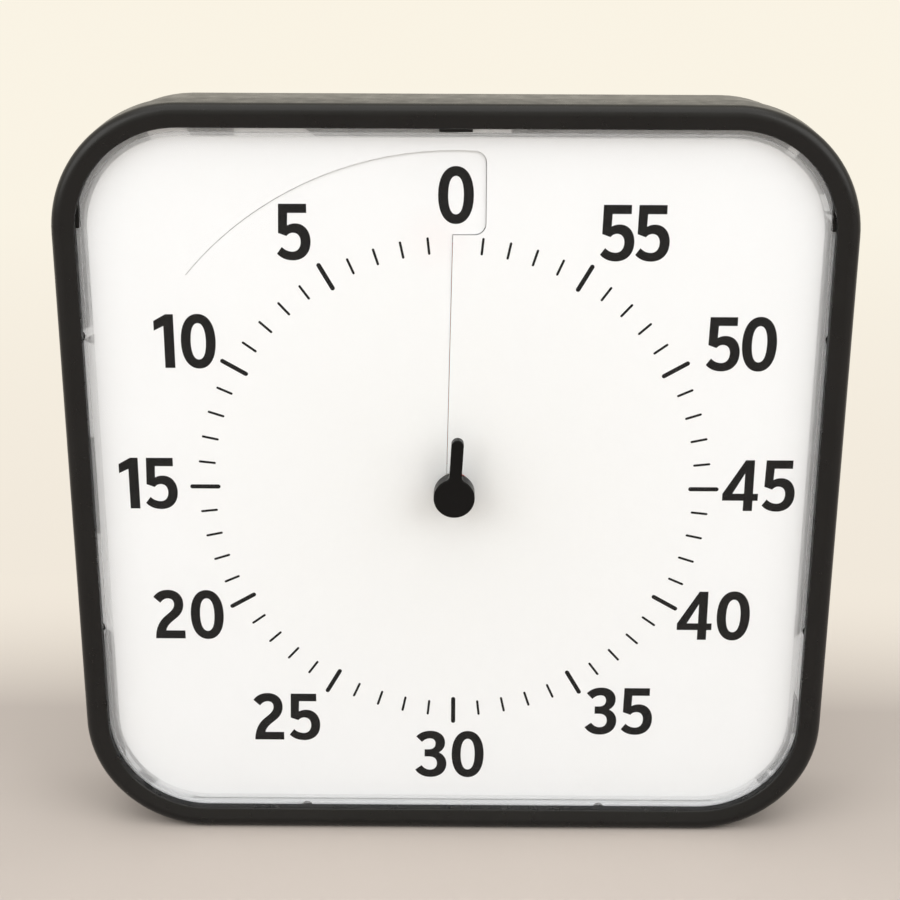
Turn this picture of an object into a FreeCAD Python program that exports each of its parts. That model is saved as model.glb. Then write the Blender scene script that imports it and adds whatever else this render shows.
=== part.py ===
# Visual countdown timer: a square wall and table clock whose red disc shows the minutes left.
# Millimetres. X is to the right seen from the front, the front faces -Y and +Z is up.
# The origin is the middle of the flat base, in the plane of the dial's printed face.

import FreeCAD
import Part
import math
import os

import Sketcher
from PartDesign.fcgear import fcgear, involute

V = FreeCAD.Vector
doc = FreeCAD.newDocument("CountdownTimer")
sheet = doc.addObject("Spreadsheet::Sheet", "Sizes")

# Driving dimensions: alias, value, meaning. Depths are measured from the dial's face.
SIZES = [
    # Case
    ("case_width", 305.0, "width and height of the square case"),
    ("corner_radius", 49.3, "outer corner radius of the bezel"),
    ("case_back", 45.0, "depth of the back face behind the dial"),
    ("bezel_proud", 7.0, "crest of the bezel in front of the dial"),
    ("bezel_back", 9.0, "seam between bezel and back shell"),
    ("bezel_face", 9.15, "width of the bezel seen from the front"),
    ("bezel_wall", 2.6, "side wall of the bezel"),
    ("bezel_edge_round", 4.0, "rounding of the bezel's outer front edge"),
    ("bezel_slope_wide", 4.6, "width of the slope from crest to opening"),
    ("bezel_slope_deep", 1.3, "fall of that slope"),
    ("bezel_lip_round", 1.0, "rounding of the bezel's inner edge"),
    ("bezel_rebate", 2.1, "seat of the lens flange in front of the dial"),
    ("bezel_boss_radius", 2.2, "screw bosses inside the bezel"),
    ("bezel_boss_inset", 6.9, "boss axis from the case's outside"),
    ("bezel_boss_along", 62.0, "boss axis from the middle of a side"),
    ("bezel_screw_radius", 0.8, "screws that hold the bezel to the dial frame"),
    ("bezel_screw_head", 1.5, "head radius of those screws"),
    ("bezel_screw_head_thick", 1.4, "head of those screws"),
    ("bezel_screw_long", 6.4, "length of those screws under the head"),
    ("boss_gap", 0.3, "room round the bosses in the lens, sheet and frame"),
    ("clip_side_at", 110.0, "side clips above the dial's axis"),
    ("clip_side_high", 10.0, "height of a side clip"),
    ("clip_wide", 12.5, "width of the lens clip at the top"),
    ("clip_deep", 1.5, "reach of the lens clips past the bezel's edge"),
    ("clip_root", 1.2, "root of a clip inside the bezel"),
    ("clip_sunk", 0.6, "clips and bosses sunk into the bezel's face"),
    ("notch_gap", 0.03, "notches of the lens beyond the clips"),
    # Lens
    ("lens_proud", 4.8, "front of the lens before the dial"),
    ("lens_thick", 1.8, "wall of the lens"),
    ("lens_gap", 1.55, "bezel opening to the raised face of the lens"),
    ("lens_wall", 2.1, "side wall of the raised face"),
    ("lens_flange", 3.9, "flange hidden behind the bezel"),
    ("lens_round", 0.8, "rounding of the raised face's edge"),
    ("lens_hole_radius", 5.7, "hole for the knob's spigot"),
    # Dial sheet with its flap
    ("sheet_thick", 0.5, "thickness of the printed dial sheet"),
    ("sheet_inset", 5.4, "edge of the dial sheet from the case's outside"),
    ("dial_hole_radius", 6.6, "hole round the hub"),
    ("slit_offset", 3.15, "slit to the left of the dial's axis, at the hub"),
    ("slit_lean", 2.0, "slit nearer to the axis at the tab"),
    ("slit_gap", 0.2, "width of the slit"),
    ("flap_radius", 134.5, "outer edge of the flap"),
    ("flap_angle", 50.0, "where the flap bends out of the sheet, from twelve o'clock"),
    ("flap_drop", 1.0, "depth of the flap at its tab"),
    ("tab_room", 3.6, "lower edge of the tab beyond the red disc's edge"),
    ("tab_reach", 11.45, "right edge of the tab from the dial's axis"),
    ("tab_high", 134.0, "height of the tab's upper corner"),
    ("tab_round", 4.4, "corner radius of the tab"),
    # Print
    ("ink_thick", 0.03, "thickness of the printed layer"),
    ("tick_major_from", 93.2, "start of a five minute mark"),
    ("tick_major_to", 105.3, "end of a five minute mark"),
    ("tick_major_wide", 1.75, "width of a five minute mark"),
    ("tick_minor_from", 95.2, "start of a minute mark"),
    ("tick_minor_to", 102.0, "end of a minute mark"),
    ("tick_minor_wide", 0.95, "width of a minute mark"),
    ("numeral_scale", 1.0, "size of the numerals, 1 being 21.6 high"),
    # Red disc, hub, knob and arbor
    ("disc_radius", 99.0, "radius of the red disc"),
    ("disc_depth", 1.6, "front of the red disc behind the dial"),
    ("disc_thick", 0.3, "thickness of the red disc"),
    ("disc_cut", 0.5, "width of the radial cut in the disc"),
    ("hub_radius", 5.6, "barrel of the disc's hub"),
    ("hub_front", 0.5, "front of the hub before the dial"),
    ("hub_flange_radius", 9.5, "flange that carries the disc"),
    ("hub_flange_thick", 1.0, "thickness of that flange"),
    ("arbor_radius", 2.0, "radius of the arbor"),
    ("knob_radius", 8.1, "radius of the knob's round part"),
    ("knob_front", 12.3, "front of the knob before the dial"),
    ("knob_gap", 0.6, "knob to lens"),
    ("knob_round", 0.5, "rounding of the knob's front edge"),
    ("spigot_radius", 5.0, "knob's spigot through the lens"),
    ("pointer_wide", 4.9, "width of the pointer"),
    ("pointer_tip", 24.2, "end of the pointer from the axis"),
    ("pointer_deep", 3.6, "depth of the pointer"),
    ("pointer_root", 2.2, "fillet between pointer and knob"),
    ("knob_cap", 2.0, "front wall of the knob over the arbor"),
    ("park_angle", 3.3, "pointer to the right of twelve when the time is up"),
    # Dial frame
    ("frame_front", 5.0, "front of the frame's plate behind the dial"),
    ("frame_thick", 2.0, "thickness of the frame's plate"),
    ("frame_inset", 4.2, "edge of the frame from the case's outside"),
    ("frame_rim", 6.0, "width of the rim that carries the sheet"),
    ("disc_room", 4.0, "room between the red disc and the ring round it"),
    ("frame_ring_wide", 2.0, "width of that ring"),
    ("frame_boss_radius", 4.0, "bosses for the case screws"),
    ("frame_boss_back", 19.6, "end of those bosses behind the dial"),
    # Back shell
    ("shell_inset", 2.9, "outside of the shell from the case's outside"),
    ("shell_front", 7.4, "front edge of the shell, inside the bezel"),
    ("shell_wall", 2.2, "wall of the shell"),
    ("shell_round", 4.0, "rounding of the shell's rear edge"),
    ("well_radius", 5.6, "outside of the screw wells"),
    ("well_bore", 3.9, "inside of the screw wells"),
    ("case_screw_inset", 40.5, "case screws from the case's outside"),
    ("case_screw_radius", 1.36, "radius of the case screws"),
    ("case_screw_long", 12.0, "length of the case screws under the head"),
    ("case_screw_head", 3.4, "head radius of the case screws"),
    ("case_screw_head_thick", 2.4, "head of the case screws"),
    ("screw_hole", 1.7, "clearance hole of a screw"),
    ("keyhole_radius", 4.5, "head hole of the hanging keyhole"),
    ("keyhole_slot", 4.5, "width of the keyhole's slot"),
    ("keyhole_travel", 9.0, "slot above the head hole"),
    ("keyhole_height", 92.0, "head hole above the dial's axis"),
    # Rear pads and feet
    ("pad_wide", 16.0, "width of a rear pad"),
    ("pad_deep", 9.0, "depth of a rear pad"),
    ("pad_at", 62.0, "rear pads from the middle"),
    ("pad_depth_at", 27.0, "front of the rear pads behind the dial"),
    ("foot_inset", 60.5, "feet from the case's sides"),
    ("foot_grip_at", 8.0, "grip from the foot's end"),
    ("foot_grip_deep", 1.2, "depth of the grip"),
    ("foot_grip_high", 3.0, "height of the grip, and its margin at the sides"),
    ("foot_wide", 14.0, "width of a foot"),
    ("foot_long", 60.0, "foot from pivot to end"),
    ("foot_thick", 5.0, "thickness of a foot"),
    ("foot_pivot_up", 4.3, "foot pivot above the base"),
    ("foot_pivot_in", 4.5, "foot pivot in front of the back face"),
    ("foot_knuckle", 2.6, "knuckle round the foot's pin"),
    ("foot_pin_radius", 1.2, "foot pins"),
    ("foot_gap", 0.4, "room round a foot in its recess"),
    ("ear_wide", 4.0, "ears beside a foot"),
    ("running_fit", 0.05, "radial clearance of a shaft in its hole"),
    ("fit_gap", 0.2, "room round a part that is dropped into its seat"),
    ("cut_past", 1.0, "how far a cut runs past an open face"),
    # Movement
    ("collar_front", 12.7, "arbor's collar behind the clutch"),
    ("collar_thick", 0.6, "thickness of the collar"),
    ("collar_radius", 3.2, "radius of the collar"),
    ("cam_front", 9.6, "alarm cam behind the dial"),
    ("cam_thick", 1.0, "thickness of the alarm cam"),
    ("cam_radius", 3.6, "radius of the alarm cam"),
    ("cam_notch_wide", 1.6, "width of the cam's notch"),
    ("cam_notch_deep", 1.0, "depth of the cam's notch"),
    ("reed_gap", 0.35, "contact reed under the cam"),
    ("reed_thick", 0.3, "thickness of the contact reed"),
    ("reed_wide", 0.8, "width of the contact reed"),
    ("reed_from", 1.5, "end of the reed past the axis"),
    ("reed_post_at", 12.0, "post of the reed from the axis"),
    ("reed_post_wide", 3.0, "width of that post"),
    ("dish_thick", 0.3, "thickness of the dished clutch spring"),
    ("dish_beyond", 1.4, "dished spring beyond the collar"),
    ("level_centre", 10.9, "front of the centre wheel"),
    ("level_third", 13.7, "front of the third wheel"),
    ("level_seconds", 15.5, "front of the seconds wheel"),
    ("level_fifth", 17.3, "front of the fifth wheel"),
    ("magnet_front", 18.8, "front of the rotor's magnet"),
    ("magnet_bore", 1.0, "bore of the rotor's magnet"),
    ("stator_front", 19.4, "front of the stator plate"),
    ("stator_thick", 1.0, "thickness of the stator plate"),
    ("stator_half", 7.5, "half width of the stator"),
    ("stator_limb", 2.6, "width of the stator's limbs"),
    ("stator_below", 6.0, "stator below the rotor's axis"),
    ("stator_bridge", 5.4, "stator's window above the rotor's axis"),
    ("rotor_gap", 0.35, "air gap round the rotor's magnet"),
    ("core_wide", 3.0, "width of the coil's core"),
    ("bobbin_radius", 2.0, "barrel of the bobbin"),
    ("bobbin_flange_radius", 3.5, "flanges of the bobbin"),
    ("bobbin_flange", 0.8, "thickness of those flanges"),
    ("winding_radius", 3.2, "outside of the winding"),
    ("coil_height", 25.0, "coil above the dial's axis"),
    ("wire_radius", 0.6, "insulated wires"),
    ("contact_thick", 0.4, "battery contact strips"),
    ("movement_half", 29.0, "half width of the movement's case"),
    ("movement_low", 20.0, "movement below the axis"),
    ("movement_high", 31.0, "movement above the axis"),
    ("movement_split", 15.0, "joint between the movement's two halves"),
    ("movement_back", 25.6, "back of the movement"),
    ("movement_wall", 1.6, "wall of the movement's case"),
    ("movement_round", 2.5, "corner radius of the movement's case"),
    ("movement_boss", 2.3, "screw bosses of the movement's case"),
    ("movement_boss_in", 3.0, "those bosses from the outside"),
    ("movement_screw_radius", 0.8, "screws of the movement's case"),
    ("movement_screw_head", 1.8, "head radius of those screws"),
    ("movement_screw_head_thick", 1.2, "head of those screws"),
    ("movement_screw_bite", 4.0, "those screws in the front half"),
    ("board_left", 14.0, "left edge of the circuit board from the axis"),
    ("board_right", 25.5, "right edge of the circuit board from the axis"),
    ("board_low", 14.0, "circuit board below the axis"),
    ("board_high", 17.0, "circuit board above the axis"),
    ("board_thick", 0.8, "thickness of the circuit board"),
    ("chip_at", 19.5, "middle of the chip from the axis"),
    ("chip_down", 2.5, "middle of the chip below the axis"),
    ("chip_half", 3.5, "half width of the chip's round cover"),
    ("chip_high", 1.2, "height of that cover over the board"),
    ("chip_round", 2.5, "corner radius of that cover"),
    ("crystal_radius", 1.0, "radius of the quartz crystal's can"),
    ("crystal_long", 6.0, "length of that can, and its foot above the axis"),
    ("crystal_at", 20.0, "crystal from the axis"),
    ("bush_radius", 5.0, "threaded bush that clamps the movement"),
    ("bush_front", 3.2, "front end of the bush"),
    ("nut_radius", 7.4, "corner radius of the hexagon nut"),
    ("nut_thick", 1.7, "thickness of the nut"),
    ("bush_flange_thick", 0.7, "flange of the bush inside the movement"),
    ("bush_flange_wide", 1.5, "flange beyond the bush"),
    ("gear_module", 0.3, "module of the gear train"),
    ("mesh_ease", 0.05, "extra distance between meshing wheels"),
    ("wheel_thick", 0.8, "thickness of a wheel"),
    ("wheel_hole", 1.9, "radius of the holes in the centre wheel"),
    ("wheel_hole_at", 7.4, "those holes from the axis"),
    ("post_radius", 0.5, "steel posts that the wheels turn on"),
    ("magnet_radius", 2.4, "radius of the rotor's magnet"),
    ("magnet_long", 2.4, "length of the rotor's magnet"),
    # Battery bay, door, switch and sounder
    ("battery_radius", 7.2, "radius of the AA cell"),
    ("battery_long", 50.0, "length of the AA cell with its nub"),
    ("bay_drop", 66.0, "battery bay below the dial's axis"),
    ("bay_long", 58.0, "inner length of the bay"),
    ("bay_high", 16.0, "inner height of the bay"),
    ("bay_deep", 17.0, "inner depth of the bay"),
    ("bay_wall", 1.6, "wall of the bay"),
    ("contact_front", 1.0, "battery contacts behind the bay's front"),
    ("contact_back", 2.0, "battery contacts before the bay's mouth"),
    ("contact_side", 1.5, "battery contacts from the bay's sides"),
    ("contact_tab_from", 6.0, "solder tabs behind the bay's front"),
    ("contact_tab_wide", 3.0, "width of a solder tab"),
    ("contact_tab_up", 4.0, "solder tabs above the bay's middle"),
    ("contact_tab_thick", 0.6, "thickness of a solder tab"),
    ("contact_tab_long", 2.5, "solder tab outside the bay"),
    ("spring_wire", 0.4, "radius of the contact spring's wire"),
    ("spring_small", 2.2, "radius of the contact spring at the cell"),
    ("spring_large", 4.8, "radius of the contact spring at its plate"),
    ("nub_radius", 2.7, "radius of the cell's nub"),
    ("nub_long", 1.2, "length of the cell's nub"),
    ("door_thick", 1.4, "thickness of the battery door"),
    ("door_margin", 3.0, "door beyond the bay's mouth"),
    ("door_gap", 0.4, "gap round the door"),
    ("door_stub", 0.45, "radius of the door's hinge stubs"),
    ("door_stub_long", 0.9, "reach of the stubs into the shell"),
    ("grip_from", 1.0, "first groove of the door's grip below the bay's top"),
    ("grip_pitch", 1.6, "groove to groove"),
    ("grip_wide", 0.8, "width of a groove"),
    ("grip_half", 9.0, "half length of a groove"),
    ("grip_deep", 0.5, "depth of a groove"),
    ("switch_at", 66.0, "sound switch to the right of the axis, seen from the front"),
    ("switch_high", 4.0, "height of the switch's thumb piece"),
    ("switch_wide", 7.0, "width of the switch's thumb piece"),
    ("switch_travel", 4.0, "travel of the sound switch"),
    ("switch_gap", 0.4, "room round the switch's slider"),
    ("switch_skirt", 2.0, "slider's plate beyond its thumb piece"),
    ("switch_body_wall", 3.0, "body of the switch beyond the slider"),
    ("switch_body_deep", 6.0, "depth of the switch's body"),
    ("switch_body_half", 5.6, "half height of the switch's body"),
    ("switch_plate_half", 4.0, "half height of the slider's plate"),
    ("switch_plate_front", 1.5, "front of the slider's plate before the shell"),
    ("switch_plate_back", 0.3, "back of the slider's plate before the shell"),
    ("switch_groove_from", 1.4, "first groove from the thumb piece's end"),
    ("switch_groove_pitch", 1.8, "groove to groove on the thumb piece"),
    ("switch_groove_wide", 0.7, "width of those grooves"),
    ("switch_groove_deep", 0.6, "depth of those grooves"),
    ("sounder_radius", 14.0, "radius of the sounder"),
    ("sounder_thick", 4.5, "thickness of the sounder"),
    ("sounder_at", 62.0, "sounder to the left of the axis, seen from the front"),
    ("sound_hole", 1.1, "radius of the sound holes"),
    ("sound_ring", 6.3, "ring of sound holes from the sounder's middle"),
    ("sounder_floor", 1.2, "floor of the sounder's cup"),
    ("sounder_wall", 1.5, "wall of the sounder's cup"),
    ("sounder_disc_thick", 0.4, "thickness of the sounder's disc"),
    # Runs of the wires
    ("wire_entry", 5.0, "wires enter the movement behind its joint"),
    ("wire_out", 9.0, "supply wires outwards from the bay"),
    ("wire_up", 16.0, "supply wires upwards beside the bay"),
    ("wire_forward", 4.0, "supply wires forwards on that run"),
    ("wire_apart", 14.0, "supply wires from the axis, at the movement"),
    ("wire_below", 12.0, "supply wires straight into the movement"),
    ("wire_low", 4.0, "lower wire of a pair above the axis"),
    ("wire_pair", 3.0, "distance between the wires of a pair"),
    ("wire_off", 7.0, "straight start of a pair of wires"),
    ("wire_run_in", 13.0, "straight end of a pair of wires"),
]

for row, (alias, number, meaning) in enumerate(SIZES, start=1):
    sheet.set("A%d" % row, meaning)
    sheet.set("B%d" % row, str(number))
    sheet.setAlias("B%d" % row, alias)
doc.recompute()

# Lengths that several pieces share, as expressions on the sheet.
HALF = "(Sizes.case_width / 2)"
BEZEL_IN = "(Sizes.case_width / 2 - Sizes.bezel_face)"
BEZEL_IN_ROUND = "(Sizes.corner_radius - Sizes.bezel_face)"
FRAME_BACK = "(Sizes.frame_front + Sizes.frame_thick)"
SHELL_OUT = "(Sizes.case_width / 2 - Sizes.shell_inset)"
SHELL_FLOOR = "(Sizes.case_back - Sizes.shell_wall)"
HUB_BACK = "(Sizes.disc_depth + Sizes.disc_thick + Sizes.hub_flange_thick)"
BOSS_AT = "(Sizes.case_width / 2 - Sizes.bezel_boss_inset)"
BAY_FRONT = "(Sizes.case_back - Sizes.shell_wall - Sizes.bay_deep)"
CASE_SCREW_AT = "(Sizes.case_width / 2 - Sizes.case_screw_inset)"
FOOT_AT = "(Sizes.case_width / 2 - Sizes.foot_inset)"
FULL_TURN = 360.0

# The dial's print, flap and disc are drawn for this width of case, and grow with it.
DRAWN_WIDTH = 305.0
DIAL = "(Sizes.case_width / %.1f)" % DRAWN_WIDTH
DISC_EDGE = "(Sizes.disc_radius * %s)" % DIAL
RING_IN = "(%s + Sizes.disc_room)" % DISC_EDGE
TAB_LOW = "(%s + Sizes.tab_room)" % DISC_EDGE
TAB_REACH = "(Sizes.tab_reach * %s)" % DIAL
TAB_HIGH = "(Sizes.tab_high * %s)" % DIAL
TAB_ROUND = "(Sizes.tab_round * %s)" % DIAL
FLAP_EDGE = "(Sizes.flap_radius * %s)" % DIAL

pieces = []


def size(expression):
    """The number that an expression on the sheet has now."""
    return float(sheet.evalExpression(expression))


def place(piece, x="0", y="0", z="0"):
    """Bind a piece's place to the sheet."""
    for axis, expression in (("x", x), ("y", y), ("z", z)):
        piece.setExpression(".Placement.Base." + axis, expression)


def new_body(label, z=HALF):
    """A body whose local origin is the dial's axis, or the height z."""
    body = doc.addObject("PartDesign::Body", label)
    body.Label = label
    place(body, z=z)
    pieces.append(body)
    return body


def keep(label, shape):
    """A piece whose shape is made here from the sheet's sizes, about the dial's axis."""
    piece = doc.addObject("Part::Feature", label)
    piece.Label = label
    piece.Shape = Part.makeCompound(shape.Solids)
    piece.Placement = FreeCAD.Placement(V(0, 0, size(HALF)), FreeCAD.Rotation())
    place(piece, z=HALF)
    pieces.append(piece)
    return piece


# Sketching helpers

def plane_sketch(body, name, role, depth="0"):
    """A sketch on one of the body's origin planes, moved along the plane's normal by -depth."""
    sketch = body.newObject("Sketcher::SketchObject", body.Label + "_" + name)
    plane = [item for item in body.Origin.OriginFeatures if item.Role == role]
    sketch.AttachmentSupport = [(plane[0], "")]
    sketch.MapMode = "FlatFace"
    sketch.setExpression(".AttachmentOffset.Base.z", "-(%s)" % depth)
    return sketch


def bind(sketch, kind, where, expression):
    """Add a dimension whose value follows the sheet."""
    index = sketch.addConstraint(Sketcher.Constraint(kind, *where, size(expression)))
    sketch.setExpression("Constraints[%d]" % index, expression)


def circle(radius, x="0", z="0"):
    """Draw a circle."""
    def draw(sketch):
        middle = V(size(x), size(z), 0)
        index = sketch.addGeometry(Part.Circle(middle, V(0, 0, 1), size(radius)), False)
        bind(sketch, "Radius", (index,), radius)
        bind(sketch, "DistanceX", (-1, 1, index, 3), x)
        bind(sketch, "DistanceY", (-1, 1, index, 3), z)
    return draw


def circles(radius, places):
    """Draw the same circle at several places."""
    def draw(sketch):
        for x, z in places:
            circle(radius, x, z)(sketch)
    return draw


def polygon(points):
    """Draw a closed outline of straight edges."""
    def draw(sketch):
        corners = [V(size(x), size(y), 0) for x, y in points]
        first = len(sketch.Geometry)
        count = len(points)
        for i in range(count):
            sketch.addGeometry(Part.LineSegment(corners[i], corners[(i + 1) % count]), False)
        for i in range(count):
            after = first + (i + 1) % count
            sketch.addConstraint(Sketcher.Constraint("Coincident", first + i, 2, after, 1))
            bind(sketch, "DistanceX", (-1, 1, first + i, 1), points[i][0])
            bind(sketch, "DistanceY", (-1, 1, first + i, 1), points[i][1])
    return draw


def box(left, low, right, high):
    """Draw a rectangle."""
    return polygon([(left, low), (right, low), (right, high), (left, high)])


def boxes(outlines):
    """Draw several rectangles."""
    def draw(sketch):
        for outline in outlines:
            box(*outline)(sketch)
    return draw


def rounded(left, low, right, high, radius):
    """Draw a rectangle with round corners."""
    def draw(sketch):
        x0, z0, x1, z1, r = (size(item) for item in (left, low, right, high, radius))
        sides = [((x0 + r, z0), (x1 - r, z0)), ((x1, z0 + r), (x1, z1 - r)),
                 ((x1 - r, z1), (x0 + r, z1)), ((x0, z1 - r), (x0, z0 + r))]
        centres = [(x1 - r, z0 + r), (x1 - r, z1 - r), (x0 + r, z1 - r), (x0 + r, z0 + r)]
        first = len(sketch.Geometry)
        for i in range(4):
            start, end = sides[i]
            sketch.addGeometry(Part.LineSegment(V(*start, 0), V(*end, 0)), False)
            turn = math.pi / 2 * (i - 1)
            arc = Part.ArcOfCircle(Part.Circle(V(*centres[i], 0), V(0, 0, 1), r),
                                   turn, turn + math.pi / 2)
            sketch.addGeometry(arc, False)
        for i in range(4):
            line = first + 2 * i
            arc = line + 1
            after = first + (2 * i + 2) % 8
            sketch.addConstraint(Sketcher.Constraint("Tangent", line, 2, arc, 1))
            sketch.addConstraint(Sketcher.Constraint("Tangent", arc, 2, after, 1))
            kind = "Horizontal" if i % 2 == 0 else "Vertical"
            sketch.addConstraint(Sketcher.Constraint(kind, line))
            if i > 0:
                sketch.addConstraint(Sketcher.Constraint("Equal", first + 1, arc))
        bind(sketch, "Radius", (first + 1,), radius)
        bind(sketch, "DistanceY", (-1, 1, first, 1), low)
        bind(sketch, "DistanceX", (-1, 1, first + 2, 1), right)
        bind(sketch, "DistanceY", (-1, 1, first + 4, 1), high)
        bind(sketch, "DistanceX", (-1, 1, first + 6, 1), left)
    return draw


def squircle(half, radius):
    """Draw a square outline about the dial's axis, with round corners."""
    return rounded("-" + half, "-" + half, half, half, radius)


# Feature helpers: depths run from front to back, along +Y

def pad(body, name, front, back, draw):
    """Add a front view outline between two depths."""
    sketch = plane_sketch(body, name + "_outline", "XZ_Plane", back)
    draw(sketch)
    feature = body.newObject("PartDesign::Pad", body.Label + "_" + name)
    feature.Profile = sketch
    feature.setExpression("Length", "(%s) - (%s)" % (back, front))
    return feature


def pocket(body, name, front, back, draw):
    """Cut a front view outline between two depths."""
    sketch = plane_sketch(body, name + "_outline", "XZ_Plane", front)
    draw(sketch)
    feature = body.newObject("PartDesign::Pocket", body.Label + "_" + name)
    feature.Profile = sketch
    feature.setExpression("Length", "(%s) - (%s)" % (back, front))
    return feature


def turned(body, name, profile, kind="PartDesign::Revolution"):
    """Turn a profile of (depth, radius) points about the dial's axis, or cut it."""
    sketch = plane_sketch(body, name + "_profile", "YZ_Plane")
    polygon(profile)(sketch)
    feature = body.newObject(kind, body.Label + "_" + name)
    feature.Profile = sketch
    feature.ReferenceAxis = (sketch, ["H_Axis"])
    feature.Angle = FULL_TURN
    return feature


def along_x(body, name, left, right, profile, kind="PartDesign::Pad"):
    """Add or cut a side view outline of (depth, height) points from left to right."""
    sketch = plane_sketch(body, name + "_profile", "YZ_Plane", "-(%s)" % left)
    profile(sketch)
    feature = body.newObject(kind, body.Label + "_" + name)
    feature.Profile = sketch
    feature.setExpression("Length", "(%s) - (%s)" % (right, left))
    if kind == "PartDesign::Pocket":
        feature.Reversed = True
    return feature


def edges_where(feature, test):
    """Names of the feature's edges that pass a test."""
    doc.recompute()
    found = []
    for number, edge in enumerate(feature.Shape.Edges, start=1):
        if test(edge):
            found.append("Edge%d" % number)
    return found


def blend(body, name, feature, edges, radius):
    """Fillet edges by a radius on the sheet."""
    fillet = body.newObject("PartDesign::Fillet", body.Label + "_" + name)
    fillet.Base = (feature, edges)
    fillet.setExpression("Radius", radius)
    return fillet


def inset_of(edge):
    """How far inside the case's outline an edge's middle lies, in the front view."""
    middle = edge.valueAt((edge.FirstParameter + edge.LastParameter) / 2)
    half = size(HALF)
    radius = size("Sizes.corner_radius")
    across = abs(middle.x) - (half - radius)
    up = abs(middle.z) - (half - radius)
    if across > 0 and up > 0:
        return radius - math.hypot(across, up)
    return half - max(abs(middle.x), abs(middle.z))


def rim_edge(depth, inset):
    """A test for the edges of one outline at one depth."""
    def test(edge):
        bounds = edge.BoundBox
        flat = bounds.YLength < 1e-4 and abs(bounds.YMin - size(depth)) < 1e-3
        return flat and abs(inset_of(edge) - size(inset)) < 1e-2
    return test


BOSS_PLACES = []
for sign in ("", "-"):
    for other in ("", "-"):
        BOSS_PLACES.append((sign + "Sizes.bezel_boss_along", other + BOSS_AT))
        BOSS_PLACES.append((other + BOSS_AT, sign + "Sizes.bezel_boss_along"))
CASE_SCREWS = [("-" + CASE_SCREW_AT, "-" + CASE_SCREW_AT),
               (CASE_SCREW_AT, "-" + CASE_SCREW_AT),
               ("-" + CASE_SCREW_AT, CASE_SCREW_AT),
               (CASE_SCREW_AT, CASE_SCREW_AT),
               ("-" + CASE_SCREW_AT, "0"),
               (CASE_SCREW_AT, "0")]


# Front bezel

def clip_boxes(reach, spare):
    """The lens clips inside the bezel's opening: one at the top, one on each side."""
    low = "(%s - %s)" % (BEZEL_IN, reach)
    top = "(%s + Sizes.clip_root)" % BEZEL_IN
    half = "(Sizes.clip_wide / 2 + %s)" % spare
    side_low = "(Sizes.clip_side_at - Sizes.clip_side_high / 2 - %s)" % spare
    side_high = "(Sizes.clip_side_at + Sizes.clip_side_high / 2 + %s)" % spare
    return [("-" + half, low, half, top),
            ("-" + top, side_low, "-" + low, side_high),
            (low, side_low, top, side_high)]


def make_bezel():
    body = new_body("front_bezel")
    front = "-Sizes.bezel_proud"
    pad(body, "block", front, "Sizes.bezel_back", squircle(HALF, "Sizes.corner_radius"))
    opening = pocket(body, "opening", front, "Sizes.bezel_back", squircle(BEZEL_IN, BEZEL_IN_ROUND))
    inner = edges_where(opening, rim_edge(front, "Sizes.bezel_face"))
    slope = body.newObject("PartDesign::Chamfer", "front_bezel_slope")
    slope.Base = (opening, inner)
    slope.ChamferType = "Two distances"
    slope.setExpression("Size", "Sizes.bezel_slope_wide")
    slope.setExpression("Size2", "Sizes.bezel_slope_deep")
    outer = edges_where(slope, rim_edge(front, "0"))
    rounding = blend(body, "outer_round", slope, outer, "Sizes.bezel_edge_round")
    step = "-(Sizes.bezel_proud - Sizes.bezel_slope_deep)"
    lip = edges_where(rounding, rim_edge(step, "Sizes.bezel_face"))
    blend(body, "lip_round", rounding, lip, "Sizes.bezel_lip_round")
    inside = "(Sizes.case_width / 2 - Sizes.bezel_wall)"
    pocket(body, "rebate", "-Sizes.bezel_rebate", "Sizes.bezel_back",
           squircle(inside, "(Sizes.corner_radius - Sizes.bezel_wall)"))
    sunk = "-(Sizes.bezel_rebate + Sizes.clip_sunk)"
    pad(body, "clips", sunk, "-Sizes.fit_gap",
        boxes(clip_boxes("Sizes.clip_deep", "0")))
    pad(body, "bosses", sunk, "Sizes.frame_front",
        circles("Sizes.bezel_boss_radius", BOSS_PLACES))
    pocket(body, "boss_holes", "0", "Sizes.frame_front", circles("Sizes.bezel_screw_radius",
                                                                BOSS_PLACES))


# Lens

def make_lens():
    body = new_body("lens")
    face_half = "(%s - Sizes.lens_gap)" % BEZEL_IN
    face_round = "(%s - Sizes.lens_gap)" % BEZEL_IN_ROUND
    flange_half = "(%s + Sizes.lens_flange)" % BEZEL_IN
    flange_round = "(%s + Sizes.lens_flange)" % BEZEL_IN_ROUND
    cave_half = "(%s - Sizes.lens_gap - Sizes.lens_wall)" % BEZEL_IN
    cave_round = "(%s - Sizes.lens_gap - Sizes.lens_wall)" % BEZEL_IN_ROUND
    pad(body, "flange", "-Sizes.bezel_rebate", "0", squircle(flange_half, flange_round))
    face = pad(body, "face", "-Sizes.lens_proud", "-Sizes.bezel_rebate",
               squircle(face_half, face_round))
    rim = edges_where(face, rim_edge("-Sizes.lens_proud", "Sizes.bezel_face + Sizes.lens_gap"))
    blend(body, "face_round", face, rim, "Sizes.lens_round")
    pocket(body, "cave", "-(Sizes.lens_proud - Sizes.lens_thick)", "0",
           squircle(cave_half, cave_round))
    pocket(body, "knob_hole", "-Sizes.lens_proud", "0", circle("Sizes.lens_hole_radius"))
    pocket(body, "boss_notches", "-Sizes.bezel_rebate", "0",
           circles("(Sizes.bezel_boss_radius + Sizes.boss_gap)", BOSS_PLACES))
    pocket(body, "clip_notches", "-Sizes.bezel_rebate", "0",
           boxes(clip_boxes("(Sizes.clip_deep + Sizes.notch_gap)", "Sizes.fit_gap")))


# Dial sheet and print, made from outlines because the flap leans out of the sheet's plane

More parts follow.
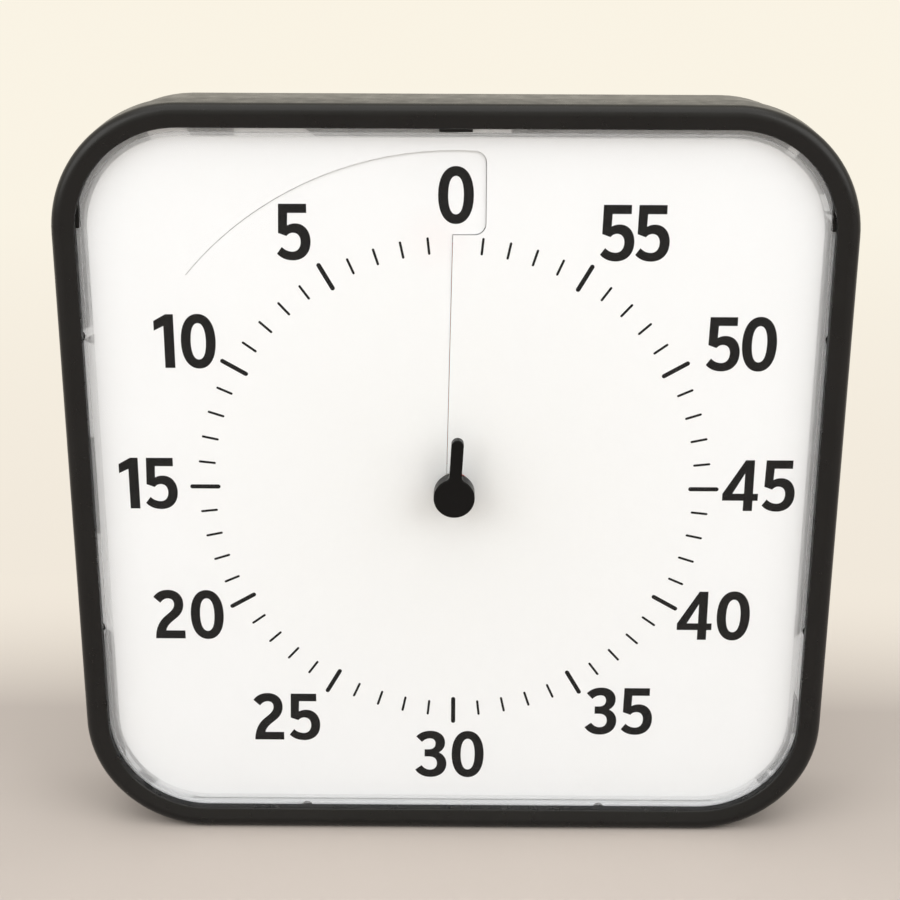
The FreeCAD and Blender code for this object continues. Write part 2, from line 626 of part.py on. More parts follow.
def flap_face(grow):
    """The flap's outline in the front view, widened by grow."""
    slit = -size("Sizes.slit_offset") + grow
    reach = size(TAB_REACH) + grow
    low = size(TAB_LOW) - grow
    high = size(TAB_HIGH)
    corner = size(TAB_ROUND)
    radius = size(FLAP_EDGE) + grow
    bend = math.radians(size("Sizes.flap_angle"))
    hole = size("Sizes.dial_hole_radius")
    start = V(slit, 0, math.sqrt(hole ** 2 - slit ** 2))
    shoulder = V(slit + size("Sizes.slit_lean"), 0, low)
    turn_in = V(reach - corner, 0, low)
    turn_out = V(reach, 0, low + corner)
    turn_mid = V(reach - corner * (1 - math.sin(math.pi / 4)), 0,
                 low + corner * (1 - math.cos(math.pi / 4)))
    top_in = V(reach, 0, high - corner)
    top_out = V(reach - corner, 0, math.sqrt(radius ** 2 - (reach - corner) ** 2))
    top_mid = V(reach - corner * (1 - math.cos(math.pi / 4)), 0,
                top_in.z + (top_out.z - top_in.z) * math.sin(math.pi / 4))
    arc_mid = V(-radius * math.sin(bend / 2), 0, radius * math.cos(bend / 2))
    arc_end = V(-radius * math.sin(bend), 0, radius * math.cos(bend))
    inner_end = V(-hole * math.sin(bend), 0, hole * math.cos(bend))
    inner_mid = V(-hole * math.sin(bend * 0.7), 0, hole * math.cos(bend * 0.7))
    edges = [Part.LineSegment(start, shoulder), Part.LineSegment(shoulder, turn_in),
             Part.Arc(turn_in, turn_mid, turn_out), Part.LineSegment(turn_out, top_in),
             Part.Arc(top_in, top_mid, top_out), Part.Arc(top_out, arc_mid, arc_end),
             Part.LineSegment(arc_end, inner_end), Part.Arc(inner_end, inner_mid, start)]
    return Part.Face(Part.Wire([edge.toShape() for edge in edges]))


def lean():
    """The shear that leans the flap back from its bend line."""
    bend = math.radians(size("Sizes.flap_angle"))
    tab_away = size(TAB_HIGH) * math.sin(bend)
    slope = size("Sizes.flap_drop") / tab_away
    shear = FreeCAD.Matrix()
    shear.A21 = slope * math.cos(bend)
    shear.A23 = slope * math.sin(bend)
    return shear


def squircle_face(half, radius):
    """A square face with round corners in the front view."""
    block = Part.makeBox(2 * half, 1, 2 * half, V(-half, 0, -half))
    upright = [edge for edge in block.Edges
               if abs(edge.tangentAt(edge.FirstParameter).y) > 0.9]
    rounded_block = block.makeFillet(radius, upright)
    faces = [face for face in rounded_block.Faces
             if abs(face.BoundBox.YMax) < 1e-6]
    return faces[0]


def make_dial():
    """Flat sheet, slit, and the flap that leans back so that the red disc can pass over it."""
    thick = size("Sizes.sheet_thick")
    half = size(HALF) - size("Sizes.sheet_inset")
    radius = size("Sizes.corner_radius") - size("Sizes.sheet_inset")
    through = V(0, thick, 0)
    flat = squircle_face(half, radius).extrude(through)
    cutters = [Part.makeCylinder(size("Sizes.dial_hole_radius"), 3 * thick,
                                 V(0, -thick, 0), V(0, 1, 0))]
    for x, z in BOSS_PLACES:
        cutters.append(Part.makeCylinder(size("Sizes.bezel_boss_radius + Sizes.boss_gap"), 3 * thick,
                                         V(size(x), -thick, size(z)), V(0, 1, 0)))
    window = flap_face(size("Sizes.slit_gap")).extrude(V(0, 3 * thick, 0))
    window.translate(V(0, -thick, 0))
    cutters.append(window)
    flat = flat.cut(cutters)
    leaning = flap_face(0).transformGeometry(lean())
    flap = leaning.extrude(through)
    keep("dial_sheet", flat.fuse(flap).removeSplitter())


# Numeral outlines: a start point, then straight edges (two numbers) and curves (six numbers).
# They are drawn on a 21.6 high body, from the lower left corner.
GLYPHS = {
    "0": (13.5, [
        [(6.75, 21.8), (10.9, 21.8, 13.5, 17.6, 13.5, 10.8), (13.5, 4.0, 10.9, -0.2, 6.75, -0.2),
         (2.6, -0.2, 0.0, 4.0, 0.0, 10.8), (0.0, 17.6, 2.6, 21.8, 6.75, 21.8)],
        [(6.75, 18.1), (8.6, 18.1, 9.7, 15.5, 9.7, 10.8), (9.7, 6.1, 8.6, 3.5, 6.75, 3.5),
         (4.9, 3.5, 3.8, 6.1, 3.8, 10.8), (3.8, 15.5, 4.9, 18.1, 6.75, 18.1)]]),
    "1": (7.7, [
        [(3.8, 0.0), (7.7, 0.0), (7.7, 21.6), (4.7, 21.6), (0.0, 18.9), (0.0, 15.0), (3.8, 16.9)]]),
    "2": (12.4, [
        [(2.7, 16.0), (3.6, 17.3, 4.7, 18.0, 5.9, 18.0), (7.5, 18.0, 8.3, 16.9, 8.3, 15.5),
         (8.3, 13.7, 7.3, 12.5, 4.9, 10.5), (1.9, 8.0, 0.3, 4.6, 0.2, 0.0), (12.4, 0.0),
         (12.4, 3.6), (4.6, 3.6), (4.8, 5.0, 5.8, 6.6, 8.3, 8.6),
         (10.9, 10.6, 12.1, 12.8, 12.1, 15.6), (12.1, 19.4, 9.6, 21.8, 6.1, 21.8),
         (3.4, 21.8, 1.4, 20.7, 0.0, 18.6)]]),
    "3": (13.2, [
        [(0.5, 19.1), (2.0, 20.9, 4.1, 21.8, 6.6, 21.8), (10.2, 21.8, 12.6, 19.5, 12.6, 16.3),
         (12.6, 14.1, 11.6, 12.5, 10.0, 11.6), (12.0, 10.6, 13.2, 8.7, 13.2, 6.3),
         (13.2, 2.4, 10.4, -0.2, 6.4, -0.2), (3.6, -0.2, 1.4, 1.0, 0.0, 3.3), (2.7, 5.4),
         (3.7, 4.0, 4.8, 3.3, 6.3, 3.3), (8.1, 3.3, 9.2, 4.6, 9.2, 6.4),
         (9.2, 8.4, 8.0, 9.6, 5.9, 9.6), (4.0, 9.6), (4.0, 13.0), (5.7, 13.0),
         (7.6, 13.0, 8.6, 14.1, 8.6, 15.8), (8.6, 17.3, 7.7, 18.2, 6.3, 18.2),
         (5.0, 18.2, 3.9, 17.6, 2.9, 16.5)]]),
    "4": (14.2, [
        [(8.6, 21.6), (12.2, 21.6), (12.2, 7.4), (14.2, 7.4), (14.2, 4.4), (12.2, 4.4),
         (12.2, 0.0), (8.5, 0.0), (8.5, 4.4), (0.0, 4.4), (0.0, 7.3)],
        [(4.0, 7.4), (8.6, 7.4), (8.6, 16.0)]]),
    "5": (12.9, [
        [(0.9, 21.6), (11.5, 21.6), (11.5, 18.1), (4.3, 18.1), (4.1, 13.3),
         (5.2, 13.9, 6.1, 14.1, 7.2, 14.1), (10.6, 14.1, 12.9, 11.3, 12.9, 7.2),
         (12.9, 2.7, 10.2, -0.2, 6.0, -0.2), (3.5, -0.2, 1.4, 0.7, 0.0, 2.4), (1.9, 5.0),
         (3.0, 3.8, 4.4, 3.2, 5.9, 3.2), (8.0, 3.2, 9.1, 4.9, 9.1, 7.1),
         (9.1, 9.2, 8.0, 10.5, 6.2, 10.5), (5.3, 10.5, 4.5, 10.1, 3.8, 9.2), (0.6, 10.4)]]),
}
GLYPH_HIGH = 21.6
MINUTES = 60
MINUTES_BETWEEN_LONG_MARKS = 5
LEFT_BEARING = {"0": 1.1, "5": 0.9}
RIGHT_BEARING = {"1": 1.5, "2": 1.45, "3": 1.1, "4": 0.8, "5": -0.4}

# Where the middle of each numeral lies on the dial, across and up from its axis.
NUMERALS = {
    "0": (0.1, 117.6), "5": (-61.5, 103.3), "10": (-104.6, 60.1), "15": (-121.9, 1.2),
    "20": (-108.4, -56.2), "25": (-69.5, -102.9), "30": (-1.5, -120.1), "35": (69.1, -99.4),
    "40": (106.3, -55.4), "45": (121.3, 1.6), "50": (111.0, 60.1), "55": (68.1, 103.6)}


def glyph_face(digit, x, z, scale):
    """One digit's face, with its lower left corner at x, z."""
    wires = []
    for contour in GLYPHS[digit][1]:
        points = contour[0]
        here = V(x + points[0] * scale, 0, z + points[1] * scale)
        first = here
        edges = []
        for step in contour[1:]:
            poles = [V(x + step[i] * scale, 0, z + step[i + 1] * scale)
                     for i in range(0, len(step), 2)]
            if len(poles) == 1:
                edges.append(Part.LineSegment(here, poles[0]).toShape())
            else:
                curve = Part.BezierCurve()
                curve.setPoles([here] + poles)
                edges.append(curve.toShape())
            here = poles[-1]
        if here.distanceToPoint(first) > 1e-6:
            edges.append(Part.LineSegment(here, first).toShape())
        wires.append(Part.Wire(edges))
    face = Part.Face(wires[0])
    for hole in wires[1:]:
        face = face.cut(Part.Face(hole))
    return face.Faces[0]


def numeral_faces(text, middle):
    """The digits of one numeral, side by side about its middle."""
    scale = size("Sizes.numeral_scale * " + DIAL)
    gap = 0.0
    if len(text) == 2:
        gap = (RIGHT_BEARING[text[0]] + LEFT_BEARING[text[1]]) * scale
    wide = sum(GLYPHS[digit][0] for digit in text) * scale + gap
    x = middle[0] * size(DIAL) - wide / 2
    low = middle[1] * size(DIAL) - GLYPH_HIGH * scale / 2
    faces = []
    for digit in text:
        faces.append(glyph_face(digit, x, low, scale))
        x += GLYPHS[digit][0] * scale + gap
    return faces


def tick_face(minute):
    """A mark with round ends, minutes running anticlockwise from the top."""
    kind = "major" if minute % MINUTES_BETWEEN_LONG_MARKS == 0 else "minor"
    inner = size("Sizes.tick_%s_from * %s" % (kind, DIAL))
    outer = size("Sizes.tick_%s_to * %s" % (kind, DIAL))
    half = size("Sizes.tick_%s_wide * %s / 2" % (kind, DIAL))
    edges = [Part.LineSegment(V(-half, 0, inner + half), V(-half, 0, outer - half)),
             Part.Arc(V(-half, 0, outer - half), V(0, 0, outer), V(half, 0, outer - half)),
             Part.LineSegment(V(half, 0, outer - half), V(half, 0, inner + half)),
             Part.Arc(V(half, 0, inner + half), V(0, 0, inner), V(-half, 0, inner + half))]
    face = Part.Face(Part.Wire([edge.toShape() for edge in edges]))
    face.rotate(V(0, 0, 0), V(0, -1, 0), FULL_TURN / MINUTES * minute)
    return face


def printed(face):
    """A thin printed solid on the sheet, or on the leaning flap where the face lies there."""
    middle = face.CenterOfMass
    angle = math.degrees(math.atan2(-middle.x, middle.z))
    right_end = -math.degrees(math.asin(size(TAB_REACH) / size(TAB_HIGH)))
    above_tab = middle.z > size(TAB_LOW)
    slit = -size("Sizes.slit_offset")
    beyond_slit = middle.x < slit or (above_tab and angle > right_end)
    on_flap = beyond_slit and angle < size("Sizes.flap_angle")
    if on_flap:
        face = face.transformGeometry(lean())
    return face.extrude(V(0, -size("Sizes.ink_thick"), 0))


def make_print():
    numerals = []
    for text, middle in NUMERALS.items():
        numerals += [printed(face) for face in numeral_faces(text, middle)]
    keep("dial_numerals", Part.makeCompound(numerals))
    ticks = [printed(tick_face(minute)) for minute in range(1, MINUTES)]
    keep("dial_ticks", Part.makeCompound(ticks))


# Frame behind the sheet. The flap needs room above this share of the ring's radius.
FLAP_ROOM_FROM = 0.6


def make_frame():
    body = new_body("dial_frame")
    half = "(Sizes.case_width / 2 - Sizes.frame_inset)"
    radius = "(Sizes.corner_radius - Sizes.frame_inset)"
    rim_half = "(Sizes.case_width / 2 - Sizes.sheet_inset - Sizes.frame_rim)"
    rim_radius = "(Sizes.corner_radius - Sizes.sheet_inset - Sizes.frame_rim)"
    sheet_half = "(Sizes.case_width / 2 - Sizes.sheet_inset)"
    sheet_radius = "(Sizes.corner_radius - Sizes.sheet_inset)"
    pad(body, "plate", "Sizes.frame_front", FRAME_BACK, squircle(half, radius))
    pad(body, "rim", "Sizes.sheet_thick", "Sizes.frame_front", squircle(sheet_half, sheet_radius))
    pocket(body, "rim_inside", "Sizes.sheet_thick", "Sizes.frame_front",
           squircle(rim_half, rim_radius))
    ring_outer = "(%s + Sizes.frame_ring_wide)" % RING_IN
    pad(body, "ring", "Sizes.sheet_thick", "Sizes.frame_front", lambda sketch: (
        circle(ring_outer)(sketch), circle(RING_IN)(sketch)))
    drop = "(Sizes.sheet_thick + Sizes.flap_drop + 2 * Sizes.fit_gap)"
    pocket(body, "flap_room", "Sizes.sheet_thick", drop,
           box("-" + ring_outer, "(%s * %.1f)" % (RING_IN, FLAP_ROOM_FROM),
               "(%s + Sizes.frame_ring_wide)" % TAB_REACH, ring_outer))
    pocket(body, "boss_room", "Sizes.sheet_thick", "Sizes.frame_front",
           circles("(Sizes.bezel_boss_radius + Sizes.boss_gap)", BOSS_PLACES))
    pocket(body, "boss_screws", "Sizes.frame_front", FRAME_BACK,
           circles("(Sizes.bezel_screw_radius + Sizes.fit_gap)", BOSS_PLACES))
    pad(body, "case_bosses", FRAME_BACK, "Sizes.frame_boss_back",
        circles("Sizes.frame_boss_radius", CASE_SCREWS))
    pocket(body, "case_boss_holes", FRAME_BACK, "Sizes.frame_boss_back",
           circles("Sizes.case_screw_radius", CASE_SCREWS))
    pocket(body, "bush_hole", "Sizes.frame_front", FRAME_BACK,
           circle("(Sizes.bush_radius + 2 * Sizes.running_fit)"))


# Back shell. A slot's round ends take nearly half its width, so that its sides meet them.
FULL_ROUND = 0.499


def make_shell():
    body = new_body("back_shell")
    out_round = "(Sizes.corner_radius - Sizes.shell_inset)"
    in_half = "(Sizes.case_width / 2 - Sizes.shell_inset - Sizes.shell_wall)"
    in_round = "(Sizes.corner_radius - Sizes.shell_inset - Sizes.shell_wall)"
    block = pad(body, "block", "Sizes.shell_front", "Sizes.case_back",
                squircle(SHELL_OUT, out_round))
    rear = edges_where(block, rim_edge("Sizes.case_back", "Sizes.shell_inset"))
    blend(body, "rear_round", block, rear, "Sizes.shell_round")
    pocket(body, "inside", "Sizes.shell_front", SHELL_FLOOR, squircle(in_half, in_round))
    pad(body, "wells", "Sizes.frame_boss_back", SHELL_FLOOR,
        circles("Sizes.well_radius", CASE_SCREWS))
    pocket(body, "well_bores", "(Sizes.frame_boss_back + Sizes.shell_wall)", "Sizes.case_back",
           circles("Sizes.well_bore", CASE_SCREWS))
    pocket(body, "well_holes", "Sizes.frame_boss_back", "Sizes.case_back",
           circles("Sizes.screw_hole", CASE_SCREWS))
    add_foot_bays(body)
    pocket(body, "bay_mouth", SHELL_FLOOR, "Sizes.case_back",
           box("-Sizes.bay_long / 2", "-(Sizes.bay_drop + Sizes.bay_high / 2)",
               "Sizes.bay_long / 2", "-(Sizes.bay_drop - Sizes.bay_high / 2)"))
    pocket(body, "door_seat", "(Sizes.case_back - Sizes.door_thick - Sizes.fit_gap)", "Sizes.case_back",
           box(*door_outline("Sizes.door_gap")))
    reach = "(%s + 2 * Sizes.running_fit)" % DOOR_STUB_END
    along_x(body, "door_stub_holes", "-" + reach, reach,
            circle("(Sizes.door_stub + Sizes.running_fit)", DOOR_HINGE_Y, DOOR_HINGE_Z),
            "PartDesign::Pocket")
    pocket(body, "keyhole", SHELL_FLOOR, "Sizes.case_back",
           circle("Sizes.keyhole_radius", "0", "Sizes.keyhole_height"))
    pocket(body, "keyhole_slot", SHELL_FLOOR, "Sizes.case_back",
           rounded("-Sizes.keyhole_slot / 2", "Sizes.keyhole_height",
                   "Sizes.keyhole_slot / 2", "(Sizes.keyhole_height + Sizes.keyhole_travel)",
                   "Sizes.keyhole_slot * %.3f" % FULL_ROUND))
    pocket(body, "switch_slot", SHELL_FLOOR, "Sizes.case_back",
           box("(Sizes.switch_at - Sizes.switch_gap)", "-(Sizes.switch_high / 2 + Sizes.switch_gap)",
               "(Sizes.switch_at + Sizes.switch_wide + Sizes.switch_travel + Sizes.switch_gap)",
               "(Sizes.switch_high / 2 + Sizes.switch_gap)"))
    pocket(body, "sound_holes", SHELL_FLOOR, "Sizes.case_back",
           circles("Sizes.sound_hole", sound_hole_places()))


def sound_hole_places():
    """A middle hole and a ring of six round it."""
    places = [("-Sizes.sounder_at", "0")]
    for i in range(6):
        across = math.cos(math.radians(60 * i))
        up = math.sin(math.radians(60 * i))
        places.append(("(-Sizes.sounder_at + Sizes.sound_ring * %.6f)" % across,
                       "(Sizes.sound_ring * %.6f)" % up))
    return places


def door_outline(gap):
    """The battery door's outline, or its seat with a gap."""
    return ("-(Sizes.bay_long / 2 + Sizes.door_margin + %s)" % gap,
            "-(Sizes.bay_drop + Sizes.bay_high / 2 + Sizes.door_margin + %s)" % gap,
            "(Sizes.bay_long / 2 + Sizes.door_margin + %s)" % gap,
            "-(Sizes.bay_drop - Sizes.bay_high / 2 - Sizes.door_margin - %s)" % gap)


DOOR_STUB_END = "(Sizes.bay_long / 2 + Sizes.door_margin + Sizes.door_gap + Sizes.door_stub_long)"
DOOR_HINGE_Y = "(Sizes.case_back - Sizes.door_thick / 2)"
DOOR_HINGE_Z = ("(Sizes.door_thick / 2 - Sizes.bay_drop - Sizes.bay_high / 2"
                " - Sizes.door_margin)")
FOOT_Y = "(Sizes.case_back - Sizes.foot_pivot_in)"
FOOT_Z = "(Sizes.foot_pivot_up - Sizes.case_width / 2)"
FOOT_IN = "(Sizes.foot_thick - Sizes.foot_pivot_in + Sizes.fit_gap)"


def add_foot_bays(body):
    """Two recesses with ears in the lower rear edge of the shell, for the folding feet."""
    base = "-" + SHELL_OUT
    top = "(%s + Sizes.foot_long + Sizes.foot_gap)" % FOOT_Z
    bay_half = "(Sizes.foot_wide / 2 + Sizes.foot_gap)"
    block_half = "(Sizes.foot_wide / 2 + Sizes.foot_gap + Sizes.ear_wide)"
    deep = "(%s - %s - Sizes.foot_gap)" % (FOOT_Y, FOOT_IN)
    knuckle = "(%s - Sizes.foot_knuckle - Sizes.foot_gap)" % FOOT_Y
    for name, side in (("left", "-" + FOOT_AT), ("right", FOOT_AT)):
        across = ("(%s - %s)" % (side, block_half), "(%s + %s)" % (side, block_half))
        inner = ("(%s - %s)" % (side, bay_half), "(%s + %s)" % (side, bay_half))
        pad(body, "bay_block_" + name, "(%s - Sizes.shell_wall)" % deep, SHELL_FLOOR,
            box(across[0], "(%s + Sizes.cut_past)" % base, across[1], "(%s + Sizes.shell_wall)" % top))
        pad(body, "ear_block_" + name, "(%s - Sizes.shell_wall)" % knuckle, SHELL_FLOOR,
            box(across[0], "(%s + Sizes.cut_past)" % base, across[1],
                "(%s + Sizes.foot_knuckle + Sizes.foot_gap + Sizes.shell_wall)" % FOOT_Z))
        pocket(body, "bay_" + name, deep, "Sizes.case_back",
               box(inner[0], "(%s - Sizes.cut_past)" % base, inner[1], top))
        pocket(body, "knuckle_room_" + name, knuckle, "Sizes.case_back",
               box(inner[0], "(%s - Sizes.cut_past)" % base, inner[1],
                   "(%s + Sizes.foot_knuckle + Sizes.foot_gap)" % FOOT_Z))
        along_x(body, "pin_hole_" + name, across[0], across[1],
                circle("Sizes.foot_pin_radius", FOOT_Y, FOOT_Z), "PartDesign::Pocket")


def make_feet():
    """Two feet that fold out of the lower rear edge, each on its own pin."""
    for name, side in (("left", "-" + FOOT_AT), ("right", FOOT_AT)):
        body = new_body("foot_" + name)
        left = "(%s - Sizes.foot_wide / 2)" % side
        right = "(%s + Sizes.foot_wide / 2)" % side
        inner = "(%s - %s)" % (FOOT_Y, FOOT_IN)
        outer = "(Sizes.case_back - Sizes.fit_gap)"
        along_x(body, "bar", left, right,
                box(inner, FOOT_Z, outer, "(%s + Sizes.foot_long)" % FOOT_Z))
        along_x(body, "knuckle", left, right, circle("Sizes.foot_knuckle", FOOT_Y, FOOT_Z))
        along_x(body, "bore", left, right,
                circle("(Sizes.foot_pin_radius + Sizes.running_fit)", FOOT_Y, FOOT_Z),
                "PartDesign::Pocket")
        grip_low = "(%s + Sizes.foot_long - Sizes.foot_grip_at)" % FOOT_Z
        pocket(body, "grip", "(%s - Sizes.foot_grip_deep)" % outer, outer,
               box("(%s + Sizes.foot_grip_high)" % left, grip_low,
                   "(%s - Sizes.foot_grip_high)" % right,
                   "(%s + Sizes.foot_grip_high)" % grip_low))
        pin = doc.addObject("Part::Cylinder", "foot_pin_" + name)
        pin.Label = "foot_pin_" + name
        pin.setExpression("Radius", "Sizes.foot_pin_radius")
        pin.setExpression("Height", "Sizes.foot_wide + 2 * Sizes.foot_gap + 2 * Sizes.ear_wide")
        start = "(%s - Sizes.foot_wide / 2 - Sizes.foot_gap - Sizes.ear_wide)" % side
        pin.Placement = FreeCAD.Placement(V(0, 0, 0), FreeCAD.Rotation(V(0, 1, 0), 90))
        place(pin, start, FOOT_Y, "Sizes.foot_pivot_up")
        pieces.append(pin)


def make_pads():
    """Two rubber pads that level the shell with the bezel's base."""
    pads = []
    for name, side in (("left", "-Sizes.pad_at"), ("right", "Sizes.pad_at")):
        block = doc.addObject("Part::Box", "rear_pad_" + name)
        block.setExpression("Length", "Sizes.pad_wide")
        block.setExpression("Width", "Sizes.pad_deep")
        block.setExpression("Height", "Sizes.shell_inset")
        place(block, "%s - Sizes.pad_wide / 2" % side, "Sizes.pad_depth_at", "0")
        pads.append(block)
    group = doc.addObject("Part::Compound", "rear_pads")
    group.Label = "rear_pads"
    group.Links = pads
    pieces.append(group)


# Screws. Shares of a head: its rounding, the recess's reach, half width and depth.
HEAD_ROUND = 0.45
RECESS_REACH = 0.62
RECESS_HALF = 0.16
RECESS_DEEP = 0.5


def screw_shape(radius, long, head_radius, head_thick):
    """A pan head screw along -Y, its head's seat at the origin, with a cross recess."""
    shank = Part.makeCylinder(radius, long, V(0, 0, 0), V(0, -1, 0))
    head = Part.makeCylinder(head_radius, head_thick, V(0, 0, 0), V(0, 1, 0))
    rim = [edge for edge in head.Edges if abs(edge.BoundBox.YMin - head_thick) < 1e-6]
    head = head.makeFillet(head_thick * HEAD_ROUND, rim)
    arm = head_radius * RECESS_REACH
    slot = head_radius * RECESS_HALF
    deep = head_thick * RECESS_DEEP
    past = deep + size("Sizes.cut_past")
    cross = Part.makeBox(2 * arm, past, 2 * slot, V(-arm, head_thick - deep, -slot))
    other = Part.makeBox(2 * slot, past, 2 * arm, V(-slot, head_thick - deep, -arm))
    return shank.fuse(head).cut([cross, other])


def make_screws():
    short = screw_shape(size("Sizes.bezel_screw_radius"), size("Sizes.bezel_screw_long"),
                        size("Sizes.bezel_screw_head"), size("Sizes.bezel_screw_head_thick"))
    group = []
    for x, z in BOSS_PLACES:
        screw = short.copy()
        screw.translate(V(size(x), size(FRAME_BACK), size(z)))
        group.append(screw)
    keep("bezel_screws", Part.makeCompound(group))
    seat = size("Sizes.frame_boss_back + Sizes.shell_wall")
    long = screw_shape(size("Sizes.case_screw_radius"), size("Sizes.case_screw_long"),
                       size("Sizes.case_screw_head"), size("Sizes.case_screw_head_thick"))
    group = []
    for x, z in CASE_SCREWS:
        screw = long.copy()
        screw.translate(V(size(x), seat, size(z)))
        group.append(screw)
    keep("case_screws", Part.makeCompound(group))


# Knob, hub, red disc and arbor: they turn together

def make_knob():
    body = new_body("knob")
    front = "-Sizes.knob_front"
    back = "-(Sizes.lens_proud + Sizes.knob_gap)"
    turned(body, "round", [(front, "0"), (front, "Sizes.knob_radius"), (back, "Sizes.knob_radius"),
                           (back, "Sizes.spigot_radius"), ("-Sizes.hub_front", "Sizes.spigot_radius"),
                           ("-Sizes.hub_front", "0")])
    pointer_back = "(-Sizes.knob_front + Sizes.pointer_deep)"
    pointer = pad(body, "pointer", front, pointer_back, pointer_outline)
    root = edges_where(pointer, is_root_edge)
    rooted = blend(body, "root", pointer, root, "Sizes.pointer_root")
    face = edges_where(rooted, lambda edge: abs(edge.BoundBox.YMax - size(front)) < 1e-4)
    blend(body, "front_round", rooted, face, "Sizes.knob_round")
    blind = "(-Sizes.knob_front + Sizes.knob_cap)"
    turned(body, "bore", [(blind, "0"), (blind, "Sizes.arbor_radius"),
                          ("-Sizes.hub_front", "Sizes.arbor_radius"), ("-Sizes.hub_front", "0")],
           "PartDesign::Groove")
    parked = FreeCAD.Rotation(V(0, 1, 0), size("Sizes.park_angle"))
    body.Placement = FreeCAD.Placement(body.Placement.Base, parked)
    body.setExpression(".Placement.Rotation.Angle", "Sizes.park_angle")


def pointer_outline(sketch):
    """A straight arm up from the axis with a round end."""
    half = size("Sizes.pointer_wide") / 2
    top = size("Sizes.pointer_tip") - half
    points = [V(-half, 0, 0), V(half, 0, 0), V(half, top, 0), V(-half, top, 0)]
    sketch.addGeometry(Part.LineSegment(points[0], points[1]), False)
    sketch.addGeometry(Part.LineSegment(points[1], points[2]), False)
    sketch.addGeometry(Part.ArcOfCircle(Part.Circle(V(0, top, 0), V(0, 0, 1), half), 0, math.pi), False)
    sketch.addGeometry(Part.LineSegment(points[3], points[0]), False)
    sketch.addConstraint(Sketcher.Constraint("Coincident", 0, 2, 1, 1))
    sketch.addConstraint(Sketcher.Constraint("Tangent", 1, 2, 2, 1))
    sketch.addConstraint(Sketcher.Constraint("Tangent", 2, 2, 3, 1))
    sketch.addConstraint(Sketcher.Constraint("Coincident", 3, 2, 0, 1))
    sketch.addConstraint(Sketcher.Constraint("Vertical", 1))
    sketch.addConstraint(Sketcher.Constraint("Horizontal", 0))
    bind(sketch, "DistanceX", (-1, 1, 0, 1), "-Sizes.pointer_wide / 2")
    bind(sketch, "DistanceX", (-1, 1, 0, 2), "Sizes.pointer_wide / 2")
    bind(sketch, "DistanceY", (-1, 1, 0, 1), "0")
    bind(sketch, "DistanceY", (-1, 1, 2, 3), "Sizes.pointer_tip - Sizes.pointer_wide / 2")


def is_root_edge(edge):
    """The two short edges where the pointer leaves the knob's round part."""
    bounds = edge.BoundBox
    along_depth = bounds.XLength < 1e-4 and bounds.ZLength < 1e-4
    from_axis = math.hypot(bounds.XMin, bounds.ZMin)
    return along_depth and bounds.ZMin > 0 and abs(from_axis - size("Sizes.knob_radius")) < 1e-3


def make_hub():
    hub = new_body("disc_hub")
    seat = "(Sizes.disc_depth + Sizes.disc_thick)"
    front = "-Sizes.hub_front"
    turned(hub, "barrel", [(front, "Sizes.arbor_radius"), (front, "Sizes.hub_radius"),
                           (seat, "Sizes.hub_radius"), (seat, "Sizes.hub_flange_radius"),
                           (HUB_BACK, "Sizes.hub_flange_radius"), (HUB_BACK, "Sizes.arbor_radius")])
    disc = new_body("red_disc")
    pad(disc, "sheet", "Sizes.disc_depth", seat, lambda sketch: (
        circle(DISC_EDGE)(sketch), circle("Sizes.hub_radius")(sketch)))
    pocket(disc, "cut", "Sizes.disc_depth", seat,
           box("-Sizes.disc_cut / 2", "(Sizes.hub_flange_radius + 2 * Sizes.running_fit)",
               "Sizes.disc_cut / 2", "(%s + Sizes.cut_past)" % DISC_EDGE))


def make_arbor():
    arbor = new_body("arbor")
    front = "(-Sizes.knob_front + Sizes.knob_cap + 2 * Sizes.running_fit)"
    collar = "Sizes.collar_front"
    back = "(Sizes.collar_front + Sizes.collar_thick)"
    turned(arbor, "shaft", [(front, "0"), (front, "Sizes.arbor_radius"),
                            (collar, "Sizes.arbor_radius"), (collar, "Sizes.collar_radius"),
                            (back, "Sizes.collar_radius"), (back, "0")])
    cam = new_body("alarm_cam")
    cam_back = "(Sizes.cam_front + Sizes.cam_thick)"
    pad(cam, "disc", "Sizes.cam_front", cam_back, lambda sketch: (
        circle("Sizes.cam_radius")(sketch), circle("Sizes.arbor_radius")(sketch)))
    pocket(cam, "notch", "Sizes.cam_front", cam_back,
           box("-Sizes.cam_notch_wide / 2", "-(Sizes.cam_radius + Sizes.cut_past)",
               "Sizes.cam_notch_wide / 2", "-(Sizes.cam_radius - Sizes.cam_notch_deep)"))
    spring = new_body("clutch_spring")
    flat = "(Sizes.level_centre + Sizes.wheel_thick + 2 * Sizes.running_fit)"
    lifted = "(Sizes.collar_front - Sizes.dish_thick)"
    rim = "(Sizes.collar_radius + Sizes.dish_beyond)"
    turned(spring, "dish", [(flat, rim), (lifted, "Sizes.arbor_radius"),
                            ("(%s + Sizes.dish_thick)" % lifted, "Sizes.arbor_radius"),
                            ("(%s + Sizes.dish_thick)" % flat, "(%s + Sizes.fit_gap)" % rim)])


